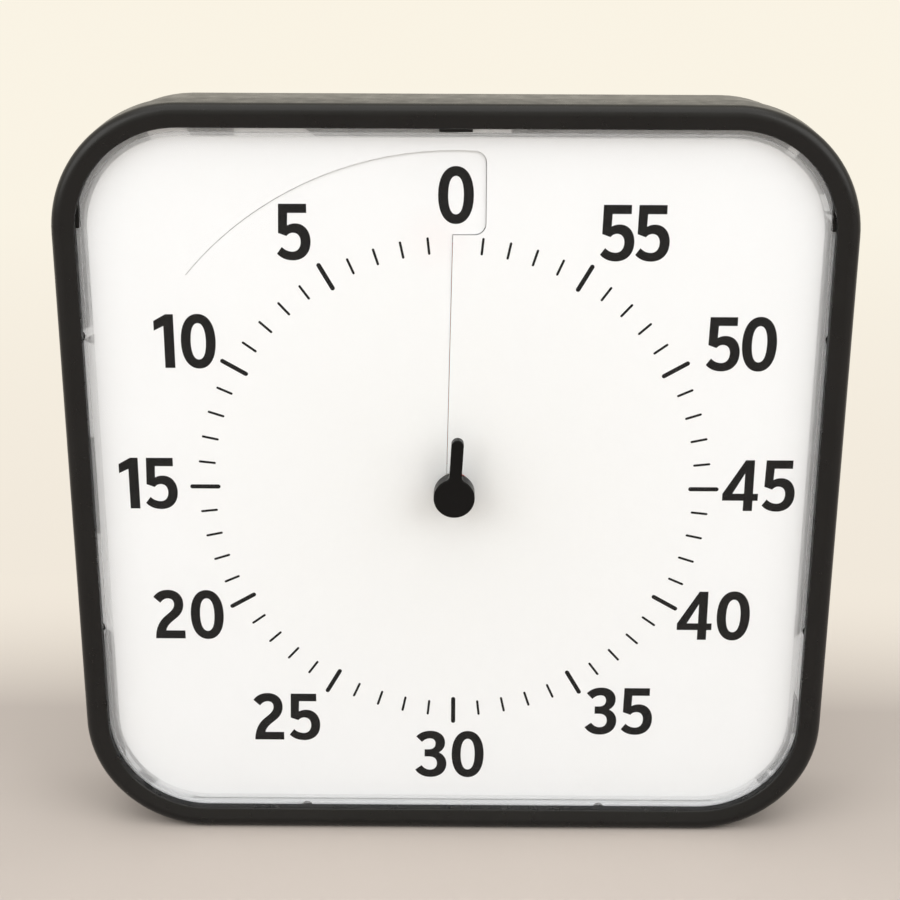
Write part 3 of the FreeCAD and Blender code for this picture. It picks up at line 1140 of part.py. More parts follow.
def make_bush():
    bush = new_body("hub_bush")
    floor = "(%s + Sizes.movement_wall)" % FRAME_BACK
    bore = "(Sizes.arbor_radius + Sizes.running_fit)"
    flange = "(%s + Sizes.bush_flange_thick)" % floor
    flange_radius = "(Sizes.bush_radius + Sizes.bush_flange_wide)"
    turned(bush, "barrel", [("Sizes.bush_front", bore), ("Sizes.bush_front", "Sizes.bush_radius"),
                            (floor, "Sizes.bush_radius"), (floor, flange_radius),
                            (flange, flange_radius), (flange, bore)])
    nut = new_body("hub_nut")
    corners = []
    for i in range(6):
        turn = math.radians(60 * i + 30)
        corners.append(("Sizes.nut_radius * %.6f" % math.cos(turn),
                        "Sizes.nut_radius * %.6f" % math.sin(turn)))
    pad(nut, "hexagon", "(Sizes.frame_front - Sizes.nut_thick)", "Sizes.frame_front",
        lambda sketch: (polygon(corners)(sketch), circle("Sizes.bush_radius")(sketch)))


# Gear train: name, what it meshes with, direction from there, wheel teeth, pinion teeth
CENTRE_TEETH = 75
WHEEL_HOLES = 5
TRAIN = [
    ("third_wheel", 200.0, 80, 10, "level_third", "level_centre"),
    ("seconds_wheel", 100.0, 60, 10, "level_seconds", "level_third"),
    ("fifth_wheel", 20.0, 50, 10, "level_fifth", "level_seconds"),
    ("rotor", 0.0, 0, 10, "level_fifth", "level_fifth"),
]
PRESSURE_ANGLE = 22.0
ADDENDUM = 0.8


def tooth_face(teeth):
    """A spur gear's face in the front view, with a tooth at three o'clock."""
    builder = fcgear.FCWireBuilder()
    involute.CreateExternalGear(builder, size("Sizes.gear_module"), teeth, PRESSURE_ANGLE, True,
                                ADDENDUM)
    wire = Part.Wire([item.toShape() for item in builder.wire])
    face = Part.Face(wire)
    face.rotate(V(0, 0, 0), V(1, 0, 0), 90)
    return face


def train_axes():
    """Each wheel's axis and its turn at rest, so that the teeth are in mesh."""
    axes = []
    x, z, turn, teeth = 0.0, 0.0, 0.0, CENTRE_TEETH
    for name, direction, wheel_teeth, pinion_teeth, level, mesh_level in TRAIN:
        apart = size("Sizes.gear_module") * (teeth + pinion_teeth) / 2 + size("Sizes.mesh_ease")
        x += apart * math.cos(math.radians(direction))
        z += apart * math.sin(math.radians(direction))
        pitch = FULL_TURN / teeth
        pinion_pitch = FULL_TURN / pinion_teeth
        offset = ((turn - direction) / pitch) % 1
        turn = direction + FULL_TURN / 2 - pinion_pitch / 2 - offset * pinion_pitch
        axes.append((name, x, z, turn, wheel_teeth, pinion_teeth, level, mesh_level))
        teeth = wheel_teeth
    return axes


def geared(face, front, back, turn):
    """A gear between two depths, turned anticlockwise seen from the front."""
    gear = face.extrude(V(0, back - front, 0))
    gear.translate(V(0, front, 0))
    gear.rotate(V(0, 0, 0), V(0, -1, 0), turn)
    return gear


def tube(outer, inner, front, back):
    """A ring along the depth."""
    solid = Part.makeCylinder(outer, back - front, V(0, front, 0), V(0, 1, 0))
    hole = Part.makeCylinder(inner, back - front, V(0, front, 0), V(0, 1, 0))
    return solid.cut(hole)


def make_train():
    thick = size("Sizes.wheel_thick")
    bore = size("Sizes.post_radius + Sizes.running_fit")
    centre_front = size("Sizes.level_centre")
    centre = geared(tooth_face(CENTRE_TEETH), centre_front, centre_front + thick, 0)
    arbor_bore = size("Sizes.arbor_radius + Sizes.running_fit")
    holes = [Part.makeCylinder(arbor_bore, 3 * thick, V(0, centre_front - thick, 0), V(0, 1, 0))]
    away = size("Sizes.wheel_hole_at")
    for i in range(WHEEL_HOLES):
        spoke = math.radians(FULL_TURN / WHEEL_HOLES * i)
        start = V(away * math.cos(spoke), centre_front - thick, away * math.sin(spoke))
        holes.append(Part.makeCylinder(size("Sizes.wheel_hole"), 3 * thick, start, V(0, 1, 0)))
    keep("centre_wheel", centre.cut(holes))
    posts = []
    for name, x, z, turn, wheel_teeth, pinion_teeth, level, mesh_level in train_axes():
        front = size("Sizes." + mesh_level) - size("Sizes.fit_gap")
        wheel_front = size("Sizes." + level)
        if name == "rotor":
            back = wheel_front + thick + size("Sizes.fit_gap")
            magnet_back = size("Sizes.magnet_front + Sizes.magnet_long")
            pinion = geared(tooth_face(pinion_teeth), front, back, turn)
            shape = pinion.fuse(tube(size("Sizes.magnet_bore"), bore, front, magnet_back))
            magnet = tube(size("Sizes.magnet_radius"), size("Sizes.magnet_bore"),
                          size("Sizes.magnet_front"), magnet_back)
            magnet.translate(V(x, 0, z))
            keep("rotor_magnet", magnet)
            name = "rotor_pinion"
        else:
            pinion = geared(tooth_face(pinion_teeth), front, wheel_front, turn)
            wheel = geared(tooth_face(wheel_teeth), wheel_front, wheel_front + thick, turn)
            shape = pinion.fuse(wheel)
        drill = Part.makeCylinder(bore, size("Sizes.case_back"), V(0, 0, 0), V(0, 1, 0))
        shape = shape.cut(drill)
        shape.translate(V(x, 0, z))
        keep(name, shape)
        floor = size(FRAME_BACK) + size("Sizes.movement_wall")
        roof = size("Sizes.movement_back - Sizes.movement_wall")
        posts.append(Part.makeCylinder(size("Sizes.post_radius"), roof - floor,
                                       V(x, floor, z), V(0, 1, 0)))
    keep("wheel_posts", Part.makeCompound(posts))


# Movement case, coil and board

def movement_corners():
    """Screw places in the corners of the movement's case."""
    side = "(Sizes.movement_half - Sizes.movement_boss_in)"
    low = "-(Sizes.movement_low - Sizes.movement_boss_in)"
    high = "(Sizes.movement_high - Sizes.movement_boss_in)"
    return [("-" + side, low), (side, low), ("-" + side, high), (side, high)]


def make_movement_case():
    outline = ("-Sizes.movement_half", "-Sizes.movement_low", "Sizes.movement_half",
               "Sizes.movement_high")
    inner = ("-(Sizes.movement_half - Sizes.movement_wall)",
             "-(Sizes.movement_low - Sizes.movement_wall)",
             "(Sizes.movement_half - Sizes.movement_wall)",
             "(Sizes.movement_high - Sizes.movement_wall)")
    inner_round = "(Sizes.movement_round - Sizes.movement_wall)"
    front = new_body("movement_front_case")
    floor = "(%s + Sizes.movement_wall)" % FRAME_BACK
    pad(front, "block", FRAME_BACK, "Sizes.movement_split", rounded(*outline, "Sizes.movement_round"))
    pocket(front, "inside", floor, "Sizes.movement_split", rounded(*inner, inner_round))
    bosses = circles("Sizes.movement_boss", movement_corners())
    pad(front, "bosses", floor, "Sizes.movement_split", bosses)
    pocket(front, "boss_holes", "(%s + Sizes.cut_past)" % floor, "Sizes.movement_split",
           circles("Sizes.movement_screw_radius", movement_corners()))
    pocket(front, "bush_hole", FRAME_BACK, floor, circle("Sizes.bush_radius"))
    rear = new_body("movement_rear_case")
    roof = "(Sizes.movement_back - Sizes.movement_wall)"
    pad(rear, "block", "Sizes.movement_split", "Sizes.movement_back",
        rounded(*outline, "Sizes.movement_round"))
    hollow = pocket(rear, "inside", "Sizes.movement_split", roof, rounded(*inner, inner_round))
    hollow.Refine = True
    pad(rear, "bosses", "Sizes.movement_split", roof, bosses)
    pocket(rear, "boss_holes", "Sizes.movement_split", "Sizes.movement_back",
           circles("(Sizes.movement_screw_radius + Sizes.fit_gap)", movement_corners()))
    long = size("Sizes.movement_back - Sizes.movement_split + Sizes.movement_screw_bite")
    screw = screw_shape(size("Sizes.movement_screw_radius"), long, size("Sizes.movement_screw_head"),
                        size("Sizes.movement_screw_head_thick"))
    group = []
    for x, z in movement_corners():
        one = screw.copy()
        one.translate(V(size(x), size("Sizes.movement_back"), size(z)))
        group.append(one)
    keep("movement_screws", Part.makeCompound(group))


def make_motor():
    rotor = [axis for axis in train_axes() if axis[0] == "rotor"][0]
    x, z = rotor[1], rotor[2]
    front = size("Sizes.stator_front")
    thick = size("Sizes.stator_thick")
    coil_z = size("Sizes.coil_height")
    bar = size("Sizes.core_wide")
    side = size("Sizes.stator_half")
    limb = size("Sizes.stator_limb")
    below = size("Sizes.stator_below")
    bridge = size("Sizes.stator_bridge")
    plate = Part.makeBox(2 * side, thick, coil_z + bar / 2 - z + below, V(x - side, front, z - below))
    window = Part.makeBox(2 * (side - limb), 3 * thick, coil_z - bar / 2 - z - bridge,
                          V(x - side + limb, front - thick, z + bridge))
    hole = Part.makeCylinder(size("Sizes.magnet_radius + Sizes.rotor_gap"), 3 * thick,
                             V(x, front - thick, z), V(0, 1, 0))
    keep("stator", plate.cut([window, hole]))
    middle = front + thick / 2
    inset = limb + 2 * size("Sizes.running_fit")
    left = x - side + inset
    long = 2 * (side - inset)
    core = Part.makeBox(long, thick, bar, V(left, front, coil_z - bar / 2))
    along = V(1, 0, 0)
    radius = size("Sizes.bobbin_radius")
    barrel = Part.makeCylinder(radius, long, V(left, middle, coil_z), along)
    flange = size("Sizes.bobbin_flange")
    ends = []
    for start in (left, left + long - flange):
        ends.append(Part.makeCylinder(size("Sizes.bobbin_flange_radius"), flange,
                                      V(start, middle, coil_z), along))
    keep("coil_bobbin", barrel.fuse(ends).cut(core))
    wound = Part.makeCylinder(size("Sizes.winding_radius"), long - 2 * flange,
                              V(left + flange, middle, coil_z), along)
    keep("coil_winding", wound.cut(Part.makeCylinder(radius, long, V(left, middle, coil_z), along)))


def make_board():
    body = new_body("circuit_board")
    roof = "(Sizes.movement_back - Sizes.movement_wall)"
    board = "(%s - Sizes.board_thick)" % roof
    pad(body, "plate", board, roof, box("Sizes.board_left", "-Sizes.board_low",
                                        "Sizes.board_right", "Sizes.board_high"))
    chip = new_body("timer_chip")
    pad(chip, "drop", "(%s - Sizes.chip_high)" % board, board,
        rounded("(Sizes.chip_at - Sizes.chip_half)", "-(Sizes.chip_down + Sizes.chip_half)",
                "(Sizes.chip_at + Sizes.chip_half)", "-(Sizes.chip_down - Sizes.chip_half)",
                "Sizes.chip_round"))
    crystal = doc.addObject("Part::Cylinder", "quartz_crystal")
    crystal.Label = "quartz_crystal"
    crystal.setExpression("Radius", "Sizes.crystal_radius")
    crystal.setExpression("Height", "Sizes.crystal_long")
    place(crystal, "Sizes.crystal_at", "%s - Sizes.crystal_radius" % board,
          "%s + Sizes.crystal_long" % HALF)
    pieces.append(crystal)


def make_alarm_contact():
    body = new_body("alarm_contact")
    floor = "(%s + Sizes.movement_wall)" % FRAME_BACK
    top = "-(Sizes.cam_radius + Sizes.reed_gap)"
    low = "-(Sizes.cam_radius + Sizes.reed_gap + Sizes.reed_thick)"
    front = "(Sizes.cam_front + 2 * Sizes.running_fit)"
    back = "(%s + Sizes.reed_wide)" % front
    pad(body, "post", floor, back,
        box("Sizes.reed_post_at", "-(Sizes.cam_radius + Sizes.reed_post_wide)",
            "(Sizes.reed_post_at + Sizes.reed_post_wide)", top))
    pad(body, "reed", front, back,
        box("-Sizes.reed_from", low, "(Sizes.reed_post_at + Sizes.cut_past / 2)", top))


# Battery bay

CONTACT_TAB_END = "(Sizes.bay_long / 2 + Sizes.bay_wall + Sizes.contact_tab_long)"
SPRING_TURNS = 4


def make_bay():
    low = "-(Sizes.bay_drop + Sizes.bay_high / 2)"
    high = "-(Sizes.bay_drop - Sizes.bay_high / 2)"
    tray = new_body("battery_tray")
    pad(tray, "block", "(%s - Sizes.bay_wall)" % BAY_FRONT, SHELL_FLOOR,
        box("-(Sizes.bay_long / 2 + Sizes.bay_wall)", "(%s - Sizes.bay_wall)" % low,
            "(Sizes.bay_long / 2 + Sizes.bay_wall)", "(%s + Sizes.bay_wall)" % high))
    pocket(tray, "inside", BAY_FRONT, SHELL_FLOOR,
           box("-Sizes.bay_long / 2", low, "Sizes.bay_long / 2", high))
    tab_front = "(%s + Sizes.contact_tab_from)" % BAY_FRONT
    tab_back = "(%s + Sizes.contact_tab_wide)" % tab_front
    tab_low = "(Sizes.contact_tab_up - Sizes.bay_drop)"
    tab_high = "(%s + Sizes.contact_tab_thick)" % tab_low
    for name, sign in (("left", "-"), ("right", "")):
        ends = sorted((sign + "(Sizes.bay_long / 2 - Sizes.cut_past)",
                       sign + "(Sizes.bay_long / 2 + Sizes.bay_wall + Sizes.cut_past)"), key=size)
        pocket(tray, "tab_slot_" + name, "(%s - Sizes.fit_gap)" % tab_front,
               "(%s + Sizes.fit_gap)" % tab_back,
               box(ends[0], "(%s - Sizes.fit_gap)" % tab_low,
                   ends[1], "(%s + Sizes.fit_gap)" % tab_high))
    cell_x = "-(Sizes.bay_long / 2 - Sizes.contact_thick)"
    for label, sign in (("positive_contact", "-"), ("negative_contact_plate", "")):
        contact = new_body(label)
        ends = sorted((sign + "(Sizes.bay_long / 2 - Sizes.contact_thick)",
                       sign + "Sizes.bay_long / 2"), key=size)
        pad(contact, "plate", "(%s + Sizes.contact_front)" % BAY_FRONT,
            "(%s - Sizes.contact_back)" % SHELL_FLOOR,
            box(ends[0], "(%s + Sizes.contact_side)" % low,
                ends[1], "(%s - Sizes.contact_side)" % high))
        ends = sorted((sign + "(Sizes.bay_long / 2 - Sizes.contact_thick / 2)",
                       sign + CONTACT_TAB_END), key=size)
        pad(contact, "tab", tab_front, tab_back, box(ends[0], tab_low, ends[1], tab_high))
    cell = doc.addObject("PartDesign::Body", "battery")
    cell.Label = "battery"
    place(cell, x=cell_x, y="%s + Sizes.battery_radius + Sizes.fit_gap" % BAY_FRONT,
          z="%s - Sizes.bay_drop" % HALF)
    pieces.append(cell)
    sketch = plane_sketch(cell, "profile", "XZ_Plane")
    polygon([("0", "0"), ("0", "Sizes.nub_radius"), ("Sizes.nub_long", "Sizes.nub_radius"),
             ("Sizes.nub_long", "Sizes.battery_radius"),
             ("Sizes.battery_long", "Sizes.battery_radius"), ("Sizes.battery_long", "0")])(sketch)
    feature = cell.newObject("PartDesign::Revolution", "battery_can")
    feature.Profile = sketch
    feature.ReferenceAxis = (sketch, ["H_Axis"])
    feature.Angle = FULL_TURN


def make_contact_spring():
    """The conical spring that presses the cell, one wire in half turns."""
    wire = size("Sizes.spring_wire")
    start = size("-(Sizes.bay_long / 2 - Sizes.contact_thick) + Sizes.battery_long") + wire
    end = size("Sizes.bay_long / 2 - Sizes.contact_thick") - wire
    middle_y = size(BAY_FRONT + " + Sizes.battery_radius + Sizes.fit_gap")
    middle_z = -size("Sizes.bay_drop")
    quarters = 4 * SPRING_TURNS
    small = size("Sizes.spring_small")
    growth = size("Sizes.spring_large") - small

    def at(quarter):
        share = quarter / quarters
        radius = small + growth * share
        turn = math.pi / 2 * quarter
        return V(start + (end - start) * share, middle_y + radius * math.cos(turn),
                 middle_z + radius * math.sin(turn))

    arcs = [Part.Arc(at(i), at(i + 1), at(i + 2)).toShape() for i in range(0, quarters, 2)]
    path = Part.Wire(arcs)
    along = arcs[0].tangentAt(arcs[0].FirstParameter)
    section = Part.Wire([Part.Circle(at(0), along, wire).toShape()])
    keep("negative_contact_spring", path.makePipeShell([section], True, False))


# The door's hinge edge is rounded by nearly half its thickness.
HINGE_ROUND = 0.49
GRIP_GROOVES = 4


def make_door():
    body = new_body("battery_door")
    front = "(Sizes.case_back - Sizes.door_thick)"
    block = pad(body, "plate", front, "Sizes.case_back", box(*door_outline("0")))
    low_edge = size(door_outline("0")[1])
    long_edges = edges_where(block, lambda edge: edge.BoundBox.XLength > size("Sizes.bay_long")
                             and abs(edge.BoundBox.ZMin - low_edge) < 1e-4)
    rounding = blend(body, "hinge_round", block, long_edges, "Sizes.door_thick * %.2f" % HINGE_ROUND)
    high = "-(Sizes.bay_drop - Sizes.bay_high / 2)"
    ridges = []
    for i in range(GRIP_GROOVES):
        level = "(%s - Sizes.grip_from - Sizes.grip_pitch * %d)" % (high, i)
        ridges.append(("-Sizes.grip_half", level, "Sizes.grip_half",
                       "(%s + Sizes.grip_wide)" % level))
    pocket(body, "grip", "(Sizes.case_back - Sizes.grip_deep)", "Sizes.case_back", boxes(ridges))
    side = "(Sizes.bay_long / 2 + Sizes.door_margin - Sizes.cut_past)"
    stub = circle("Sizes.door_stub", DOOR_HINGE_Y, DOOR_HINGE_Z)
    along_x(body, "stub_left", "-" + DOOR_STUB_END, "-" + side, stub)
    along_x(body, "stub_right", side, DOOR_STUB_END, stub)


# Sound switch and sounder

SWITCH_GROOVES = 3


def make_switch():
    left = "(Sizes.switch_at - Sizes.switch_skirt)"
    right = "(Sizes.switch_at + Sizes.switch_wide + Sizes.switch_skirt)"
    far = "(%s + Sizes.switch_travel)" % right
    track = "(Sizes.switch_plate_half + Sizes.switch_gap)"
    body = new_body("switch_body")
    plate_front = "(%s - Sizes.switch_plate_front)" % SHELL_FLOOR
    plate_back = "(%s - Sizes.switch_plate_back)" % SHELL_FLOOR
    pad(body, "block", "(%s - Sizes.switch_body_deep)" % SHELL_FLOOR, SHELL_FLOOR,
        box("(%s - Sizes.switch_body_wall)" % left, "-Sizes.switch_body_half",
            "(%s + Sizes.switch_body_wall)" % far, "Sizes.switch_body_half"))
    pocket(body, "track", "(%s - Sizes.switch_plate_back)" % plate_front, SHELL_FLOOR,
           box("(%s - Sizes.switch_gap)" % left, "-" + track,
               "(%s + Sizes.switch_gap)" % far, track))
    slider = new_body("sound_switch")
    pad(slider, "plate", plate_front, plate_back,
        box(left, "-Sizes.switch_plate_half", right, "Sizes.switch_plate_half"))
    pad(slider, "thumb", plate_back, "(Sizes.case_back - Sizes.fit_gap)",
        box("Sizes.switch_at", "-Sizes.switch_high / 2", "(Sizes.switch_at + Sizes.switch_wide)",
            "Sizes.switch_high / 2"))
    grooves = []
    edge = "(Sizes.switch_high / 2 + Sizes.cut_past)"
    for i in range(SWITCH_GROOVES):
        start = "(Sizes.switch_at + Sizes.switch_groove_from + Sizes.switch_groove_pitch * %d)" % i
        grooves.append((start, "-" + edge, "(%s + Sizes.switch_groove_wide)" % start, edge))
    pocket(slider, "grooves", "(Sizes.case_back - Sizes.fit_gap - Sizes.switch_groove_deep)",
           "Sizes.case_back", boxes(grooves))


def make_sounder():
    case = new_body("sounder_case")
    front = "(%s - Sizes.sounder_thick)" % SHELL_FLOOR
    pad(case, "cup", front, SHELL_FLOOR, circle("Sizes.sounder_radius", "-Sizes.sounder_at", "0"))
    floor = "(%s + Sizes.sounder_floor)" % front
    inner = "(Sizes.sounder_radius - Sizes.sounder_wall)"
    pocket(case, "hollow", floor, SHELL_FLOOR, circle(inner, "-Sizes.sounder_at", "0"))
    disc = new_body("sounder_disc")
    pad(disc, "disc", floor, "(%s + Sizes.sounder_disc_thick)" % floor,
        circle("(%s - Sizes.fit_gap)" % inner, "-Sizes.sounder_at", "0"))


# Wires inside the case. A bend takes this share of the shorter run beside it.
BEND_SHARE = 0.45


def rounded_path(points):
    """Straight runs joined by tangent arcs, as large as the runs allow."""
    edges = []
    here = points[0]
    for i in range(1, len(points) - 1):
        before = points[i] - points[i - 1]
        after = points[i + 1] - points[i]
        turn = before.getAngle(after)
        run = min(before.Length, after.Length)
        cut = BEND_SHARE * run
        into = points[i] - V(before).normalize() * cut
        out = points[i] + V(after).normalize() * cut
        inward = (V(after).normalize() - V(before).normalize()).normalize()
        radius = cut / math.tan(turn / 2)
        sag = radius * (1 / math.cos(turn / 2) - 1)
        edges.append(Part.LineSegment(here, into).toShape())
        edges.append(Part.Arc(into, points[i] + inward * sag, out).toShape())
        here = out
    edges.append(Part.LineSegment(here, points[-1]).toShape())
    return Part.Wire(edges)


def insulated_wire(points):
    """A wire swept along a rounded route."""
    path = rounded_path(points)
    section = Part.Wire([Part.Circle(points[0], points[1] - points[0],
                                     size("Sizes.wire_radius")).toShape()])
    return path.makePipeShell([section], True, False)


def make_wires():
    tab_x = size(CONTACT_TAB_END)
    tab_y = size(BAY_FRONT + " + Sizes.contact_tab_from + Sizes.contact_tab_wide / 2")
    tab_z = size("Sizes.contact_tab_up + Sizes.contact_tab_thick / 2 - Sizes.bay_drop")
    bend_x = tab_x + size("Sizes.wire_out")
    forward = size("Sizes.wire_forward")
    up = size("Sizes.wire_up")
    apart = size("Sizes.wire_apart")
    below = size("Sizes.wire_below")
    case_y = size("Sizes.movement_split + Sizes.wire_entry")
    case_low = -size("Sizes.movement_low")
    side = size("Sizes.movement_half")
    supply = []
    for sign in (-1, 1):
        supply.append(insulated_wire([
            V(sign * tab_x, tab_y, tab_z), V(sign * bend_x, tab_y, tab_z),
            V(sign * bend_x, tab_y - forward, tab_z + up),
            V(sign * apart, case_y, case_low - below), V(sign * apart, case_y, case_low)]))
    keep("battery_wires", Part.makeCompound(supply))
    sounder_y = size(SHELL_FLOOR) - size("Sizes.sounder_thick")
    sounder_x = -size("Sizes.sounder_at")
    switch_y = size(SHELL_FLOOR) - size("Sizes.switch_body_deep")
    switch_x = size("Sizes.switch_at")
    low = size("Sizes.wire_low")
    apart_pair = size("Sizes.wire_pair")
    straight = size("Sizes.wire_off")
    run_in = size("Sizes.wire_run_in")
    for label, x, y, end in (("sounder_wires", sounder_x, sounder_y, -side),
                             ("switch_wires", switch_x, switch_y, side)):
        pair = []
        for z in (low, low + apart_pair):
            height = z if label == "sounder_wires" else z - low - apart_pair / 2
            pair.append(insulated_wire([
                V(x, y, height), V(x, y - straight, height),
                V(end + math.copysign(run_in, end), case_y, z), V(end, case_y, z)]))
        keep(label, Part.makeCompound(pair))


make_bezel()
make_lens()
make_dial()
make_print()
make_frame()
make_shell()
make_feet()
make_pads()
make_screws()
make_knob()
make_hub()
make_arbor()
make_bush()
make_train()
make_movement_case()
make_motor()
make_board()
make_alarm_contact()
make_bay()
make_contact_spring()
make_door()
make_switch()
make_sounder()
make_wires()
doc.recompute()

for item in doc.Objects:
    if "Invalid" in item.State or "Error" in item.State:
        raise RuntimeError("%s did not build: %s" % (item.Label, item.State))
for piece in pieces:
    if piece.Shape.isNull() or not piece.Shape.isValid() or not piece.Shape.Solids:
        raise RuntimeError("%s has no valid solid" % piece.Label)

os.makedirs("parts", exist_ok=True)
for piece in pieces:
    piece.Shape.exportStep("parts/%s.step" % piece.Label)
print("%d pieces written" % len(pieces))
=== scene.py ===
"""The looks of a visual countdown timer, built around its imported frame."""

import math

import bmesh
import bpy
from bpy.props import FloatProperty, FloatVectorProperty, IntProperty, PointerProperty
from mathutils import Matrix, Quaternion, Vector


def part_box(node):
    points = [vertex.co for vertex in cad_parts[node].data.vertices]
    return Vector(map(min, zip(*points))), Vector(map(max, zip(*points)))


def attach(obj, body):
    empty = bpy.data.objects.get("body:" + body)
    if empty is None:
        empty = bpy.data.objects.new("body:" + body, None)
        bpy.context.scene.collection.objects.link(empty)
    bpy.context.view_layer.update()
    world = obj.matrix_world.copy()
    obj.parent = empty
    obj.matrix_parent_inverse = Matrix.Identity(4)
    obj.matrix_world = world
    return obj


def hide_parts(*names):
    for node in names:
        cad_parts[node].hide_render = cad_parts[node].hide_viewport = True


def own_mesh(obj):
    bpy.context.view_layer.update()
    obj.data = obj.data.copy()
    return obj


bl_info = {
    "name": "Visual countdown timer",
    "version": (1, 0, 0),
    "blender": (4, 5, 0),
    "location": "View3D > Sidebar > Timer",
    "description": "Builds the finished pieces of a square countdown timer round its frame",
    "category": "Object",
}

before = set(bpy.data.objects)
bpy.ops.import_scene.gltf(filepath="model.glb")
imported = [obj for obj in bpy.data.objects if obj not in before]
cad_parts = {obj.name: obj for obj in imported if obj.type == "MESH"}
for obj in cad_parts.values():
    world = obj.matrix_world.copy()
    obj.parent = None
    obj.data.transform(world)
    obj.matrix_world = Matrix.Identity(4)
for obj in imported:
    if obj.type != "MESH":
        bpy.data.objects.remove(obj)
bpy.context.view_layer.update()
BEZEL_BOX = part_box("front_bezel")
LENS_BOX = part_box("lens")
DISC_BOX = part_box("red_disc")
HALF = (BEZEL_BOX[1][0] - BEZEL_BOX[0][0]) / 2
AXIS_UP = (BEZEL_BOX[1][2] + BEZEL_BOX[0][2]) / 2
MM = 0.001
SMALLEST_RADIUS = 0.1 * MM
MINUTES = 60
MINUTES_BETWEEN_LONG_MARKS = 5


# Settings

def length(name, description, default):
    """A size that a user may change."""
    return FloatProperty(name=name, description=description, default=default, unit="LENGTH",
                         precision=5)


def colour(name, description, default):
    """A colour that a user may change, linear."""
    return FloatVectorProperty(name=name, description=description, default=default, size=4,
                               subtype="COLOR", min=0.0, max=1.0)


class TimerCase(bpy.types.PropertyGroup):
    """Sizes of the bezel and the lens."""

    corner: length("Corner radius", "Outer corner radius of the bezel", 49.3 * MM)
    face: length("Bezel face", "Width of the bezel seen from the front", 9.15 * MM)
    wall: length("Bezel wall", "Side wall of the bezel", 2.6 * MM)
    edge_round: length("Edge rounding", "Rounding of the outer front edge", 4.0 * MM)
    slope_wide: length("Slope width", "Width of the slope towards the dial", 4.6 * MM)
    slope_deep: length("Slope depth", "Fall of that slope", 1.3 * MM)
    lip_round: length("Lip rounding", "Rounding of the inner edge", 1.0 * MM)
    rebate: length("Rebate", "Seat of the lens before the dial", 2.1 * MM)
    lens_gap: length("Lens gap", "Bezel to the lens's raised face", 1.55 * MM)
    lens_thick: length("Lens thickness", "Wall of the lens", 1.8 * MM)
    lens_wall: length("Lens rim", "Side wall of the raised face", 2.1 * MM)
    lens_round: length("Lens rounding", "Rounding of the raised face's edge", 0.8 * MM)
    lens_hole: length("Lens hole", "Radius of the hole for the knob", 5.7 * MM)
    crest_soft: length("Crest softness", "Rounding between edge and slope", 0.18 * MM)
    seam_bevel: length("Seam bevel", "Bevel at the seam with the back shell", 0.3 * MM)
    clip_half: length("Clip half width", "Half width of the top lens clip", 6.25 * MM)
    clip_low: length("Clip low end", "Side clips start above the axis", 105 * MM)
    clip_high: length("Clip high end", "Side clips end above the axis", 115 * MM)
    clip_reach: length("Clip reach", "Clips past the bezel's edge", 1.5 * MM)
    clip_root: length("Clip root", "Clips inside the bezel", 1.2 * MM)
    clip_sunk: length("Clip sunk", "Clips and bosses before the lens's seat", 0.6 * MM)
    clip_back: length("Clip back", "Back of the clips before the dial", 0.2 * MM)
    clip_bevel: length("Clip bevel", "Bevel of the clips", 0.15 * MM)
    boss_radius: length("Boss radius", "Screw bosses inside the bezel", 1.7 * MM)
    boss_inset: length("Boss inset", "Bosses from the case's outside", 6.9 * MM)
    boss_along: length("Boss along", "Bosses from the middle of a side", 62 * MM)
    boss_back: length("Boss back", "End of the bosses behind the dial", 5.0 * MM)
    corner_steps: IntProperty(name="Corner steps", description="Faces in a rounded corner",
                              default=28, min=4, max=96)
    side_steps: IntProperty(name="Side steps", description="Faces along a straight side",
                            default=10, min=1, max=64)


class TimerDial(bpy.types.PropertyGroup):
    """Sizes of the marks and of the red disc."""

    long_from: length("Long mark start", "Inner end of a five minute mark", 93.2 * MM)
    long_to: length("Long mark end", "Outer end of a five minute mark", 105.3 * MM)
    long_wide: length("Long mark width", "Width of a five minute mark", 1.75 * MM)
    short_from: length("Short mark start", "Inner end of a minute mark", 95.2 * MM)
    short_to: length("Short mark end", "Outer end of a minute mark", 102.0 * MM)
    short_wide: length("Short mark width", "Width of a minute mark", 0.95 * MM)
    ink: length("Ink", "Thickness of the print", 0.03 * MM)
    flap_drop: length("Flap drop", "Depth of the flap at its tab", 1.0 * MM)
    flap_bend: FloatProperty(name="Flap bend", description="Where the flap leaves the sheet",
                             default=math.radians(50), subtype="ANGLE")
    tab_high: length("Tab height", "Upper corner of the tab above the axis", 134.0 * MM)
    hub: length("Hub", "Barrel of the disc's hub", 5.6 * MM)
    disc_rise: length("Disc rise", "Height that the disc's ramp starts from", 1.8 * MM)
    disc_clear: length("Disc clearance", "Disc behind the dial at the slit", 0.08 * MM)
    disc_thin: length("Disc thickness", "Thickness of the red disc", 0.06 * MM)
    disc_keep: FloatProperty(name="Disc keep", description="Share of the ramp left at an hour",
                             default=0.4, min=0.05, max=1.0, subtype="FACTOR")
    disc_steps: IntProperty(name="Disc steps", description="Faces round the disc",
                            default=180, min=24, max=720)
    park: FloatProperty(name="Park angle", description="Pointer past twelve at rest",
                        default=math.radians(3.3), subtype="ANGLE")


